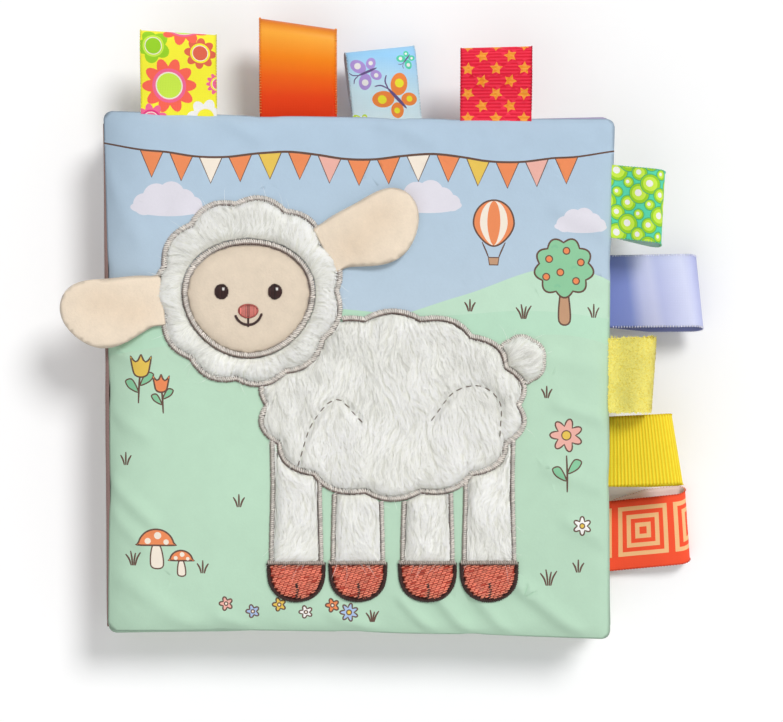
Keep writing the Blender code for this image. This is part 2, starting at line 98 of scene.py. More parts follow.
# Dyes, as sRGB hex
DYES = {
    "sky": "#B6CCDF", "low_sky": "#BFD1DF", "cloud": "#E6E3EC", "far_hill": "#C4E4CC", "near_hill": "#BCE1C7",
    "meadow": "#BEDEC5", "line": "#6B5248", "coral": "#F0905F", "cream": "#F7EBDB", "leaf": "#8CC9A0",
    "yellow": "#EAC65C", "pink": "#EFB5A8", "blue": "#AEC4E4", "trunk": "#C79C7C", "red": "#E56A50",
    "white": "#F6F4F0", "crown": "#93CDA2", "lilac": "#C3B8DC", "night": "#8FA8CC", "lime": "#CFF04E",
    "deep_lime": "#9DD62C", "teal": "#5AD8B0", "bright_yellow": "#FCF43C",
    "grosgrain_yellow": "#FFE22A", "hot_coral": "#FF6B57", "rose": "#F86C98", "star_red": "#EE1C42",
    "star_orange": "#FFA030", "square_red": "#FF5836", "square_orange": "#FFC78C", "pale_blue": "#D2F2FF",
    "wing_orange": "#FF9348", "wing_lilac": "#B79CE0", "deep_rose": "#E63C84", "leaf_edge": "#4BB37A",
    "wing_line": "#6E5A8C", "plush_yellow": "#F6E566",
}


def linear(colour):
    """Linear red, green, blue and alpha of an sRGB hex colour."""
    share = np.array([int(colour[i : i + 2], 16) / 255 for i in (1, 3, 5)])
    low, high = share / 12.92, ((share + 0.055) / 1.055) ** 2.4
    return tuple(np.where(share <= 0.04045, low, high)) + (1.0,)


def rgb(colour):
    """Linear red, green and blue of an sRGB hex colour."""
    return np.array(linear(colour)[:3])


def soft_noise(x, y, size, seed):
    """Smooth heights from -1 to 1: random values on a lattice of that size, eased from one to the next."""
    lattice = np.random.default_rng(seed).uniform(-1, 1, (64, 64))
    across, up = x / size, y / size
    i, j = np.floor(across).astype(int), np.floor(up).astype(int)
    f, g = across - i, up - j
    f, g = f * f * (3 - 2 * f), g * g * (3 - 2 * g)
    near = lattice[i % 64, j % 64] * (1 - f) + lattice[(i + 1) % 64, j % 64] * f
    far = lattice[i % 64, (j + 1) % 64] * (1 - f) + lattice[(i + 1) % 64, (j + 1) % 64] * f
    return near * (1 - g) + far * g


def unit(vectors):
    """Each row divided by its length."""
    return vectors / np.maximum(np.linalg.norm(vectors, axis=-1, keepdims=True), 1e-12)


def curve(points, count, closed=False):
    """Points evenly spaced along a smooth line: Catmull-Rom curves through the given points."""
    points = np.asarray(points, float)
    before, after = points[-1:], points[:2]
    if not closed:
        before, after = 2 * points[:1] - points[1:2], 2 * points[-1:] - points[-2:-1]
    held = np.concatenate([before, points, after])
    spans = len(held) - 3
    share = np.linspace(0, spans, spans * 24, endpoint=False)
    i, t = share.astype(int), (share % 1)[:, None]
    a, b, c, d = (held[i + k] for k in range(4))
    line = 0.5 * (2 * b + (c - a) * t + (2 * a - 5 * b + 4 * c - d) * t**2 + (3 * b - a - 3 * c + d) * t**3)
    line = np.concatenate([line, points[:1] if closed else points[-1:]])
    return even(line, count, closed)


def even(line, count, closed=False):
    """That many points at even steps along a line of points, its last point left out where it is closed."""
    line = np.asarray(line, float)
    if closed and np.abs(line[0] - line[-1]).max() > 1e-9:
        line = np.concatenate([line, line[:1]])
    far = np.concatenate([[0], np.cumsum(np.linalg.norm(np.diff(line, axis=0), axis=1))])
    step = np.linspace(0, far[-1], count + 1 if closed else count)[: count]
    return np.stack([np.interp(step, far, line[:, k]) for k in range(line.shape[1])], 1)


def length(line, closed=False):
    """Length of a line of points."""
    line = np.concatenate([line, line[:1]]) if closed else line
    return float(np.linalg.norm(np.diff(line, axis=0), axis=1).sum())


def side_of(line, closed=False):
    """Unit vectors to the right of a flat line, at each of its points."""
    along = np.roll(line, -1, 0) - np.roll(line, 1, 0) if closed else np.gradient(line, axis=0)
    along = unit(along[:, :2])
    return np.stack([along[:, 1], -along[:, 0]], 1)


def signed_area(shape):
    """Area inside a closed outline, below zero where it runs clockwise."""
    x, y = np.asarray(shape, float).T
    return float(np.sum(x * np.roll(y, -1) - y * np.roll(x, -1)) / 2)


def round_turn(count):
    """That many even angles round a circle."""
    return np.linspace(0, math.tau, count, endpoint=False)


def oval(x, y, wide, high=None, count=28, turn=0.0):
    """Ellipse round a point: cosine and sine of the angle times its half width and half height, turned."""
    angle = round_turn(count)
    a, b = wide * np.cos(angle), (wide if high is None else high) * np.sin(angle)
    c, s = math.cos(turn), math.sin(turn)
    return np.stack([x + a * c - b * s, y + a * s + b * c], 1)


def lobed(x, y, radius, lobes, depth, count=12, turn=0.0, grow=0.0):
    """Edge of a flower or a fleece: the radius, or one across and one up, times 1 + d (|sin(n a / 2)| - 1) at
    the angle a, for n lobes of depth d, and grown by so much."""
    angle = round_turn(lobes * count)
    swell = 1 + depth * (np.abs(np.sin(lobes * angle / 2)) - 1)
    far = np.array(radius) * swell[:, None] + grow
    return (x, y) + far * np.stack([np.cos(angle + turn), np.sin(angle + turn)], 1)


def star(x, y, radius, inner=0.45, turn=0.0):
    """Star with five points: outer and inner radius in turn."""
    angle = np.arange(10) * math.pi / 5 + math.pi / 2 + turn
    far = np.where(np.arange(10) % 2, radius * inner, radius)
    return np.stack([x + far * np.cos(angle), y + far * np.sin(angle)], 1)


def at(x, y, size, *places):
    """Places given as shares of a motif's size, set round its middle."""
    return np.array(places) * size + (x, y)


def stroke(line, width, count=None):
    """A drawn line as an area: the line moved half its width to each side, thinner at its ends."""
    line = curve(line, count or max(6, int(length(np.asarray(line, float)) / 1.2)))
    side = side_of(line) * width / 2
    side *= (0.35 + 0.65 * np.sin(np.linspace(0.12, math.pi - 0.12, len(line))) ** 0.4)[:, None]
    return np.concatenate([line + side, (line - side)[::-1]])


def outlined(dye, shape, width=0.5):
    """A shape with a drawn outline: the shape in the line's dye, and over it the shape moved in by that
    width."""
    shape = np.asarray(shape, float)
    inward = -side_of(shape, True) * (1 if signed_area(shape) > 0 else -1) * width
    return [("line", shape), (dye, shape + inward)]


def dense(shape, step):
    """A closed outline with points added along its sides, so that none is longer than the step."""
    along = np.roll(shape, -1, 0) - shape
    parts = np.maximum(np.ceil(np.linalg.norm(along, axis=1) / step).astype(int), 1)
    start = np.repeat(np.arange(len(shape)), parts)
    share = (np.arange(len(start)) - np.repeat(np.cumsum(parts) - parts, parts)) / parts[start]
    return shape[start] + along[start] * share[:, None]


def cut_flat(outline, layers, spacing, holes=()):
    """Triangles of a flat cloth, cut along the edge of every printed shape, with a lattice of points between,
    none nearer than CLEAR_OF_EDGE steps to the rim. Gives points, triangles, and for each triangle the shapes
    that cover it as a table of true and false."""
    low, high = outline.min(0), outline.max(0)
    step = np.broadcast_to(spacing, 2)
    i, j = np.meshgrid(np.arange(low[0], high[0], step[0]), np.arange(low[1], high[1], step[1]),
                       indexing="ij")
    lattice = np.stack([i + step[0] / 2, j + step[1] / 2], -1).reshape(-1, 2)
    lattice = lattice[inside(lattice, outline) & (distance(lattice, outline) > step.min() * CLEAR_OF_EDGE)]
    shapes = [outline, *holes, *layers]
    starts = np.cumsum([0] + [len(s) for s in shapes])
    index = np.arange(starts[-1])
    after = index + 1
    after[starts[1:] - 1] = starts[:-1]
    points = np.concatenate([*shapes, lattice])
    edges = np.stack([index, after], 1).tolist()
    points, _, triangles, _, _, _ = delaunay_2d_cdt(points.tolist(), edges, [], 0, 1e-5, False)
    points, triangles = np.array([tuple(p) for p in points]), np.array(triangles)
    middle = points[triangles].mean(1)
    covered = np.zeros((len(triangles), len(shapes)), bool)
    for k, shape in enumerate(shapes):
        near = np.flatnonzero(((middle > shape.min(0)) & (middle < shape.max(0))).all(1))
        covered[near, k] = inside(middle[near], shape)
    kept = covered[:, 0] & ~covered[:, 1 : 1 + len(holes)].any(1)
    triangles = triangles[kept]
    a, b, c = (points[triangles[:, k]] for k in range(3))
    turned = (b - a)[:, 0] * (c - a)[:, 1] - (b - a)[:, 1] * (c - a)[:, 0] < 0
    triangles[turned] = triangles[turned][:, ::-1]
    used, triangles = np.unique(triangles, return_inverse=True)
    return points[used], triangles.reshape(-1, 3), covered[kept][:, 1 + len(holes) :]


def inside(points, outline):
    """True for the points inside a closed outline: a ray to the right crosses it an odd number of times."""
    x, y = points[:, :1], points[:, 1:2]
    a, b = outline, np.roll(outline, -1, 0)
    rises = (a[:, 1] > y) != (b[:, 1] > y)
    slope = (b[:, 0] - a[:, 0]) / np.where(a[:, 1] == b[:, 1], 1e-12, b[:, 1] - a[:, 1])
    return (rises & (x < a[:, 0] + (y - a[:, 1]) * slope)).sum(1) % 2 == 1


def distance(points, outline):
    """Distance of each point to the nearest side of a closed outline."""
    side, nearest = np.roll(outline, -1, 0) - outline, []
    for part in np.array_split(points, len(points) // 4000 + 1):
        gap = part[:, None] - outline
        share = np.clip((gap * side).sum(-1) / np.maximum((side**2).sum(-1), 1e-18), 0, 1)
        nearest.append(np.linalg.norm(gap - share[..., None] * side, axis=-1).min(1))
    return np.concatenate(nearest)


def rim_edges(triangles):
    """Edges that only one triangle uses, in the triangle's own direction."""
    edges = np.concatenate([triangles[:, (0, 1)], triangles[:, (1, 2)], triangles[:, (2, 0)]])
    keys = np.sort(edges, axis=1)
    _, first, count = np.unique(keys, axis=0, return_index=True, return_counts=True)
    return edges[first[count == 1]]


def thicken(points, triangles, under, rim_shared=False):
    """A closed sheet: the triangles, the same ones turned over on the points under them, and walls round the
    rim unless both share it. Gives points, triangles and each one's part: 0 above, 1 below, 2 wall."""
    edges, count = rim_edges(triangles), len(points)
    lower, walls = np.arange(count) + count, np.empty((0, 3), int)
    if rim_shared:
        lower[np.unique(edges)] = np.unique(edges)
    else:
        a, b = edges.T
        walls = np.concatenate([np.stack([b, a, a + count], 1), np.stack([b, a + count, b + count], 1)])
    faces = np.concatenate([triangles, lower[triangles][:, ::-1], walls])
    used, faces = np.unique(faces, return_inverse=True)
    part = np.repeat([0, 1, 2], [len(triangles), len(triangles), len(walls)])
    return np.concatenate([points, under])[used], faces.reshape(-1, 3), part


def grid_faces(rows, columns, closed_rows=False, closed_columns=False):
    """Triangles of a grid of points, row after row."""
    index = np.arange(rows * columns).reshape(rows, columns)
    if closed_rows:
        index = np.concatenate([index, index[:1]])
    if closed_columns:
        index = np.concatenate([index, index[:, :1]], 1)
    a, b, c, d = index[:-1, :-1], index[1:, :-1], index[1:, 1:], index[:-1, 1:]
    return np.concatenate([np.stack([a, b, c], -1).reshape(-1, 3), np.stack([a, c, d], -1).reshape(-1, 3)])


def joined(*shapes):
    """Several (points, triangles, colours) as one."""
    points, faces, colours = zip(*shapes)
    starts = np.cumsum([0, *map(len, points)])
    faces = [face + start for face, start in zip(faces, starts)]
    return tuple(map(np.concatenate, (points, faces, colours)))


def placed(name, data):
    """A new object in the scene, at the origin."""
    thing = bpy.data.objects.new(name, data)
    bpy.context.scene.collection.objects.link(thing)
    return thing


def piece(name, points, triangles, colours, material, body, slot, replaced=()):
    """A mesh object at the origin. colours holds one linear colour for each point, or one for each triangle
    corner, and goes to the attribute dye."""
    mesh = bpy.data.meshes.new(name)
    mesh.from_pydata(points, [], triangles)
    colours = np.asarray(colours, np.float32)
    if colours.shape[-1] == 3:
        colours = np.concatenate([colours, np.ones_like(colours[..., :1])], -1)
    domain = "POINT" if colours.shape[0] == len(points) and colours.ndim == 2 else "CORNER"
    dye = mesh.color_attributes.new("dye", "FLOAT_COLOR", domain)
    dye.data.foreach_set("color", colours.reshape(-1))
    mesh.shade_smooth()
    mesh.materials.append(material)
    mesh.update()
    thing = placed(name, mesh)
    if body:
        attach(thing, body)
    if replaced:
        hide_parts(*replaced)
    return thing


def add(tree, kind, inputs=None, stops=(), **settings):
    """Adds one node: settings go on the node, and each input takes a value or the socket that feeds it."""
    node = tree.nodes.new("ShaderNode" + kind)
    for name, value in settings.items():
        setattr(node, name, value)
    for name, value in (inputs or {}).items():
        if isinstance(value, bpy.types.NodeSocket):
            tree.links.new(value, node.inputs[name])
        else:
            node.inputs[name].default_value = value
    for i, (place, value) in enumerate(stops):
        element = node.color_ramp.elements[i] if i < 2 else node.color_ramp.elements.new(place)
        element.position, element.color = place, (value, value, value, 1)
    return node


def new_tree(name):
    """A new material with an empty tree."""
    material = bpy.data.materials.new(name)
    material.use_nodes = True
    material.node_tree.nodes.clear()
    return material, material.node_tree


def finish_tree(tree, shader):
    """Puts the shader on the surface."""
    add(tree, "OutputMaterial", {"Surface": shader.outputs["BSDF"]})


# A wave texture of scale 1 repeats at this distance
WAVE_PERIOD = 0.31416


def textile(name, thread, relief, rough, sheen=0.0, shine=0.5, mottle=0.05, patch=0.006, woven=True,
            turn=0.0):
    """A dyed cloth: the piece's own dye, a little uneven over patches of that size. A weave of two crossed
    sets of threads at that spacing, or a nap of fibres that size, gives the bump, and its hollows are rougher
    than its crowns. All sizes are in metres, on Object coordinates."""
    material, tree = new_tree(name)
    place = add(tree, "TexCoord").outputs["Object"]
    place = add(tree, "Mapping", {"Vector": place, "Rotation": (0, 0, turn)}).outputs["Vector"]
    if woven:
        wave = {"Vector": place, "Scale": WAVE_PERIOD / thread, "Distortion": 2.4, "Detail": 2.0,
                "Detail Scale": 1.5}
        bands = [add(tree, "TexWave", wave, bands_direction=axis).outputs["Fac"] for axis in ("X", "Y")]
        height = add(tree, "Math", dict(enumerate(bands)), operation="MULTIPLY").outputs["Value"]
    else:
        nap = {"Vector": place, "Scale": 1 / thread, "Detail": 3.0, "Roughness": 0.65}
        height = add(tree, "TexNoise", nap).outputs["Fac"]
    uneven = add(tree, "TexNoise", {"Vector": place, "Scale": 1 / patch, "Detail": 4.0, "Roughness": 0.6})
    tint = add(tree, "ValToRGB", {"Fac": uneven.outputs["Fac"]}, stops=((0.3, 1 - mottle), (0.7, 1.0)))
    grain = add(tree, "ValToRGB", {"Fac": height}, stops=((0.1, 1 - mottle), (0.8, 1.0)))
    dye = add(tree, "Attribute", attribute_name="dye").outputs["Color"]
    for part in (tint, grain):
        dye = add(tree, "Mix", {0: 1.0, 6: dye, 7: part.outputs["Color"]}, data_type="RGBA",
                  blend_type="MULTIPLY").outputs[2]
    gloss = {"Value": height, "To Min": min(1.0, rough + 0.06), "To Max": rough - 0.06}
    roughness = add(tree, "MapRange", gloss)
    bump = add(tree, "Bump", {"Height": height, "Strength": 0.6, "Distance": relief})
    finish_tree(tree, add(tree, "BsdfPrincipled", {
        "Base Color": dye, "Roughness": roughness.outputs["Result"], "Normal": bump.outputs["Normal"],
        "Sheen Weight": sheen, "Sheen Roughness": 0.4, "Specular IOR Level": shine}))
    return material


@functools.cache
def printed_polyester():
    """Brushed polyester, heat-transfer printed: matt, the dye a little uneven, under a short brushed nap. The
    real nap is 0.1 mm fine; it is drawn 0.6 mm across so that it shows."""
    return textile("printed brushed polyester", 0.0006, 0.00006, 0.88, sheen=0.06, shine=0.12, mottle=0.035,
                   woven=False)


@functools.cache
def twill_tape():
    """Cotton twill tape of the spine: a coarse dull weave set at 45 degrees."""
    return textile("cotton twill tape", 0.0009, 0.0001, 0.9, sheen=0.1, shine=0.2, turn=math.radians(45))


@functools.cache
def fleece_pile():
    """Long polyester pile: soft fibres with a dull silky shine, each strand its own mesh blade."""
    return textile("brushed polyester fleece pile", 0.0011, 0.00005, 0.66, sheen=0.45, shine=0.3, mottle=0.02,
                   patch=0.004, woven=False)


@functools.cache
def cut_velour():
    """Cut polyester velour: a short upright nap, pale where it is seen across the pile."""
    return textile("cut polyester velour", 0.0007, 0.00022, 0.9, sheen=0.40, shine=0.10, mottle=0.07,
                   patch=0.0035, woven=False)


@functools.cache
def embroidery_thread():
    """Trilobal polyester embroidery thread: bright twisted filaments, glossy along each stitch."""
    return textile("polyester embroidery thread", 0.0004, 0.00005, 0.44, sheen=0.05, shine=0.30, mottle=0.06,
                   patch=0.0015, woven=False)


@functools.cache
def satin_ribbon():
    """Woven polyester satin: long floats that shine softly, with a faint rib from the weft."""
    return textile("woven polyester satin", 0.0005, 0.00003, 0.36, shine=0.20, mottle=0.03)


@functools.cache
def printed_ribbon():
    """Printed polyester taffeta ribbon: crisp dyes on a tight weave with a slight shine."""
    return textile("printed polyester taffeta", 0.0005, 0.00005, 0.55, shine=0.14, mottle=0.03)


@functools.cache
def grosgrain_ribbon():
    """Polyester grosgrain: thick weft ribs, which are in the mesh, under a fine thread grain."""
    return textile("polyester grosgrain", 0.0004, 0.00004, 0.62, shine=0.12, mottle=0.04)


@functools.cache
def plush_ribbon():
    """Short velvety plush: deep nap with a bloom at its edges."""
    return textile("short polyester plush", 0.0009, 0.0001, 0.85, sheen=0.25, shine=0.1, mottle=0.03,
                   woven=False)


def corner_pull(x, y, outwards):
    """Places in the leaf's square, of which those in a corner square are moved along their own ray: pulled in
    onto the corner's quarter disc, or back outwards."""
    a, b = HALF_WIDTH - CORNER_RADIUS, HALF_HEIGHT - CORNER_RADIUS
    p, q = np.maximum(np.abs(x) - a, 0), np.maximum(np.abs(y) - b, 0)
    near, far = np.maximum(p, q), np.hypot(p, q)
    pull = far / np.maximum(near, 1e-12) if outwards else near / np.maximum(far, 1e-12)
    pull = np.where((p > 0) & (q > 0), pull, 1)
    return (np.sign(x) * (np.minimum(np.abs(x), a) + p * pull),
            np.sign(y) * (np.minimum(np.abs(y), b) + q * pull))


def square_to_flat(u, v):
    """Places on the leaf's flat cut for shares -1 to 1 of its half sides."""
    return corner_pull(u * HALF_WIDTH, v * HALF_HEIGHT, False)


def flat_to_square(x, y):
    """The shares that square_to_flat takes to a place."""
    x, y = corner_pull(x, y, True)
    return np.clip(x / HALF_WIDTH, -1, 1), np.clip(y / HALF_HEIGHT, -1, 1)


def flat_outline(spacing):
    """The seam line of a leaf's flat cut, counter-clockwise, in millimetres."""
    share = np.linspace(-1, 1, 2 * int(HALF_WIDTH * 2 / MM / spacing / 2) + 1)[:-1]
    one = np.ones_like(share)
    u = np.concatenate([share, one, -share, -one])
    v = np.concatenate([-one, share, one, -share])
    return np.stack(square_to_flat(u, v), 1) / MM


def inflate(points, triangles, pressure, stiffness, bending, slack, frames=20):
    """Cloth blown up from inside for some frames, without gravity: where its points end."""
    mesh = bpy.data.meshes.new("inflated")
    mesh.from_pydata(points, [], triangles)
    thing = placed("inflated", mesh)
    cloth = thing.modifiers.new("cloth", "CLOTH")
    settings = cloth.settings
    settings.quality, settings.mass = 6, 0.15
    settings.tension_stiffness = settings.compression_stiffness = stiffness
    settings.shear_stiffness = stiffness / 3
    settings.bending_stiffness = bending
    settings.use_pressure = True
    settings.uniform_pressure_force = pressure
    settings.shrink_min = -slack
    settings.effector_weights.gravity = 0
    cloth.collision_settings.use_collision = False
    cloth.point_cache.frame_start, cloth.point_cache.frame_end = 1, frames + 1
    for step in range(1, frames + 1):
        bpy.context.scene.frame_set(step)
    seen = thing.evaluated_get(bpy.context.evaluated_depsgraph_get())
    ended = np.empty(len(points) * 3)
    seen.data.vertices.foreach_get("co", ended)
    bpy.context.scene.frame_set(1)
    bpy.data.objects.remove(thing)
    bpy.data.meshes.remove(mesh)
    return ended.reshape(-1, 3)


@functools.cache
def filled_leaf():
    """The swell of a filled leaf, simulated once: two grids of cloth sewn together at their rims, started as
    a low pillow and blown up. Gives how far the cloth moves along x and y, the swell of one side as a share
    of the most, and how far the middle between both sides leaves the plane."""
    count, start, roll = 60, 0.0022, 0.022
    share = np.linspace(-1, 1, count + 1)
    u, v = np.meshgrid(share, share, indexing="ij")
    x, y = square_to_flat(u, v)
    inset = np.minimum((1 - np.abs(u)) * HALF_WIDTH, (1 - np.abs(v)) * HALF_HEIGHT)
    rise = start * np.sqrt(1 - (1 - np.clip(inset / roll, 0, 1)) ** 2)
    rise *= 1 + 0.12 * soft_noise(x + 0.2, y + 0.2, 0.017, 3)
    top = np.stack([x, y, rise], -1).reshape(-1, 3)
    low = np.stack([x, y, -rise * (1 + 0.1 * soft_noise(x + 0.2, y + 0.2, 0.02, 4))], -1).reshape(-1, 3)
    rim = (inset < 1e-9).reshape(-1)
    faces = grid_faces(count + 1, count + 1)
    under = np.where(rim, np.arange(rim.size), rim.size + np.cumsum(~rim) - 1)
    closed = np.concatenate([top, low[~rim]])
    ended = inflate(closed, np.concatenate([faces, under[faces][:, ::-1]]), 4, 40, 0.05, 0.03)
    above, below = ended[: rim.size].reshape(u.shape + (3,)), ended[under].reshape(u.shape + (3,))
    swell = np.maximum((above - below)[..., 2] / 2, 0)
    scale = np.array((HALF_WIDTH, HALF_HEIGHT)) / np.abs(above[..., :2]).max((0, 1))
    drift = above[..., :2] * scale - np.stack([x, y], -1)
    return drift, swell / swell.max(), (above + below)[..., 2] / 2


def sample(grid, i, j):
    """Values of a grid between its points, by Catmull-Rom curves both ways."""
    rows, columns = grid.shape[:2]
    a, b = (np.clip(np.floor(k).astype(int), 0, n - 2) for k, n in ((i, rows), (j, columns)))
    weights = []
    for t in (i - a, j - b):
        weights.append((-t**3 + 2 * t**2 - t, 3 * t**3 - 5 * t**2 + 2, -3 * t**3 + 4 * t**2 + t, t**3 - t**2))
    total = 0
    for p in range(4):
        for q in range(4):
            value = grid[np.clip(a + p - 1, 0, rows - 1), np.clip(b + q - 1, 0, columns - 1)]
            weight = weights[0][p] * weights[1][q] / 4
            total = total + (value * weight[:, None] if grid.ndim == 3 else value * weight)
    return total


# Soft folds in the cover's cloth: from, to, half width and height, in millimetres
COVER_FOLDS = (
    ((13, -67), (22, -77), 1.9, 0.8), ((24, -66), (33, -77), 2.0, 0.9), ((35, -65), (45, -77), 2.1, 0.8),
    ((48, -62), (66, -76), 2.4, 1.2), ((-70, -62), (-52, -76), 3.2, 0.6), ((-42, -73), (-34, -77), 2.2, 0.5),
    ((-75, -33), (-62, -45), 2.2, 0.7), ((-75, -42), (-65, -52), 2.2, 0.6), ((60, -8), (76, -13), 2.3, 0.6),
    ((-75, -12), (-64, -19), 2.6, 0.5), ((57, -27), (76, -34), 2.6, 0.6), ((63, -43), (76, -50), 2.4, 0.5),
    ((-8, -72), (4, -77), 2.2, 0.6), ((60, 50), (76, 42), 2.8, 0.4), ((-75, 58), (-66, 40), 3.0, 0.4),
    ((52, 8), (76, 2), 3.0, 0.4), ((-40, 77), (-30, 70), 2.6, 0.4), ((8, 77), (22, 70), 3.0, 0.4),
    ((-75, 22), (-66, 19), 1.8, 0.35), ((-75, 8), (-67, 3), 1.9, 0.4))


def cover_folds(x, y):
    """Height of the front cover's soft folds: a bell across each fold line, fading at its ends."""
    total = np.zeros_like(x)
    for start, end, wide, high in COVER_FOLDS:
        start, along = np.array(start) * MM, (np.array(end) - np.array(start)) * MM
        share = ((x - start[0]) * along[0] + (y - start[1]) * along[1]) / (along @ along)
        held = np.clip(share, 0, 1)
        off = np.hypot(x - start[0] - held * along[0], y - start[1] - held * along[1])
        total += high * MM * np.exp(-((off / (wide * MM)) ** 2))
    return total


# Each leaf takes the one simulated swell turned its own way round
LEAF_TURNS = {"back_cover": (1, -1), "rear_leaf": (-1, 1), "front_leaf": (-1, -1), "front_cover": (1, 1)}
SEAM_HEIGHT = {
    leaf: (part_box(leaf + "_upper_cloth")[1].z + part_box(leaf + "_lower_cloth")[0].z) / 2 for leaf in LEAVES
}


# How soon a leaf is full behind its seam: the front of the cover is rounder than the pages. The cover's cloth
# lies a little askew: it is wider at its head, and its fore edge hangs lower.
COVER_FULLNESS, PAGE_FULLNESS = 1.8, 3.0
COVER_SPREAD, COVER_SKEW = 0.0095, 0.016
# Shares of the simulated drift and bend that are kept, and the most bend, in metres
DRIFT_SHARE, BEND_SHARE, MOST_BEND = 0.3, 0.12, 0.00035
# Folds fade over the first width from the seam, gathers over the second. A fold leaves at least that share of
# the swell, and nothing reaches below the least height.
FOLD_FADE, GATHER_FADE, LEAST_SWELL, LEAST_HEIGHT = 0.0035, 0.007, 0.4, 0.0001


def leaf_outside(leaf, side, x, y):
    """Points on the outside of a leaf, above for side 1 and below for -1, over places on its flat cut. The
    swell s goes through 1 - exp(-k s), so that the leaf is full near its seam and flat in its middle."""
    drift, swell, bend = filled_leaf()
    turn = LEAF_TURNS[leaf]
    u, v = flat_to_square(turn[0] * x, turn[1] * y)
    i, j = (u + 1) / 2 * (swell.shape[0] - 1), (v + 1) / 2 * (swell.shape[1] - 1)
    moved = sample(drift, i, j) * turn * DRIFT_SHARE
    share = np.maximum(sample(swell, i, j), 0)
    settings = bpy.context.scene.cloth_book.leaves
    full = COVER_FULLNESS if leaf == "front_cover" and side > 0 else PAGE_FULLNESS
    height = HALF_LEAF * (1 - np.exp(-full * share)) / (1 - math.exp(-full))
    edge = np.minimum(HALF_WIDTH - np.abs(x), HALF_HEIGHT - np.abs(y))
    middle = np.clip(sample(bend, i, j) * BEND_SHARE, -MOST_BEND, MOST_BEND)
    if leaf == "front_cover" and side > 0:
        fade = np.clip(edge / FOLD_FADE, 0, 1)
        pucker = settings.pucker * np.exp(-edge / GATHER_FADE) * soft_noise(x + 0.3, y + 0.3, 0.0062, 11)
        ripple = settings.ripple * soft_noise(x + 0.3, y + 0.3, 0.016, 8)
        folded = height + fade * (cover_folds(x, y) * settings.fold_height + pucker + ripple)
        height = np.maximum(folded, LEAST_SWELL * height)
    z = np.maximum(SEAM_HEIGHT[leaf] + side * height + middle, LEAST_HEIGHT)
    if leaf == "front_cover":
        x, y = x * (1 + COVER_SPREAD * y / HALF_HEIGHT), y - COVER_SKEW * x
    return np.stack([x + moved[:, 0], y + moved[:, 1], z], -1)


def cover_height(x, y):
    """Height of the front cover's outside over the places x, y, in metres, which are first set straight."""
    shape, y = np.shape(x), y + COVER_SKEW * x
    x = x / (1 + COVER_SPREAD * y / HALF_HEIGHT)
    return leaf_outside("front_cover", 1, np.ravel(x), np.ravel(y))[:, 2].reshape(shape)


def cloud(x, y, size):
    """Flat-bottomed cloud: five discs in a row on a long oval."""
    discs = ((-0.62, 0.0, 0.30), (-0.28, 0.24, 0.38), (0.12, 0.34, 0.36), (0.45, 0.14, 0.32),
             (0.72, -0.02, 0.24))
    puffs = [("cloud", oval(x + a * size, y + b * size * 0.8, r * size)) for a, b, r in discs]
    return puffs + [("cloud", oval(x, y - 0.08 * size, size, 0.24 * size))]


def hill(dye, *lit_crest):
    """Ground up to a smooth crest line, from side to side of the leaf."""
    return [(dye, np.concatenate([curve(lit_crest, 60), [(90, -90), (-90, -90)]]))]


def tuft(x, y, size, count=4, dye="line"):
    """Grass drawn as a fan of bent blades."""
    shapes = []
    for k in range(count):
        lean = (k - (count - 1) / 2) / count * 1.6
        high = size * (1 - 0.25 * abs(lean) + 0.15 * (k % 2))
        base = x + lean * size * 0.25
        blade = ((base, y), (base + lean * size * 0.25, y + high * 0.55),
                 (base + lean * size * 0.7, y + high))
        shapes.append((dye, stroke(blade, 0.55)))
    return shapes


def sprig(x, y, size, lean, dye="leaf"):
    """A stem with two outlined leaves."""
    shapes = [("line", stroke(((x, y), (x + lean * 0.4, y + size * 0.6), (x + lean, y + size)), 0.6))]
    for side, share in ((-1, 0.3), (1, 0.5)):
        root = np.array((x + lean * share, y + size * share))
        tip = root + np.array((side * size * 0.42, size * 0.34))
        bow = np.array((side * size * 0.10, -size * 0.05))
        belly = np.array((-side * size * 0.02, size * 0.22))
        shape = curve([root, (root + tip) / 2 + bow, tip, (root + tip) / 2 + belly], 22, True)
        shapes += outlined(dye, shape, 0.42)
    return shapes


def tulip(x, y, size, dye, lean=0.0):
    """A tulip: stem and leaves under a cup with three points."""
    shapes = sprig(x, y - size * 1.5, size * 1.5, lean)
    cup = at(x + lean, y, size, (-0.42, 0.1), (-0.30, -0.30), (0, -0.42), (0.30, -0.30), (0.42, 0.1),
             (0.46, 0.55), (0.2, 0.3), (0, 0.62), (-0.2, 0.3), (-0.46, 0.55))
    return shapes + outlined(dye, curve(cup, 44, True))


def daisy(x, y, size, dye, heart="yellow", petals=7):
    """An outlined flower of round petals with a round heart."""
    return (outlined(dye, lobed(x, y, size, petals, 0.42, 8), 0.45)
            + outlined(heart, oval(x, y, size * 0.3), 0.35))


def toadstool(x, y, size):
    """A spotted cap on a short stalk."""
    stalk = curve(at(x, y, size, (-0.2, -0.7), (-0.15, 0), (0.15, 0), (0.24, -0.7)), 26, True)
    angle = np.linspace(0, math.pi, 18)
    cap = np.stack([x + size * 0.62 * np.cos(angle), y + size * 0.58 * np.sin(angle)], 1)
    shapes = outlined("cream", stalk, 0.42) + outlined("coral", curve(cap, 40, True))
    spots = (-0.28, 0.16, 0.10), (0.05, 0.34, 0.12), (0.33, 0.13, 0.09)
    return shapes + [("cream", oval(x + a * size, y + b * size, size * r)) for a, b, r in spots]


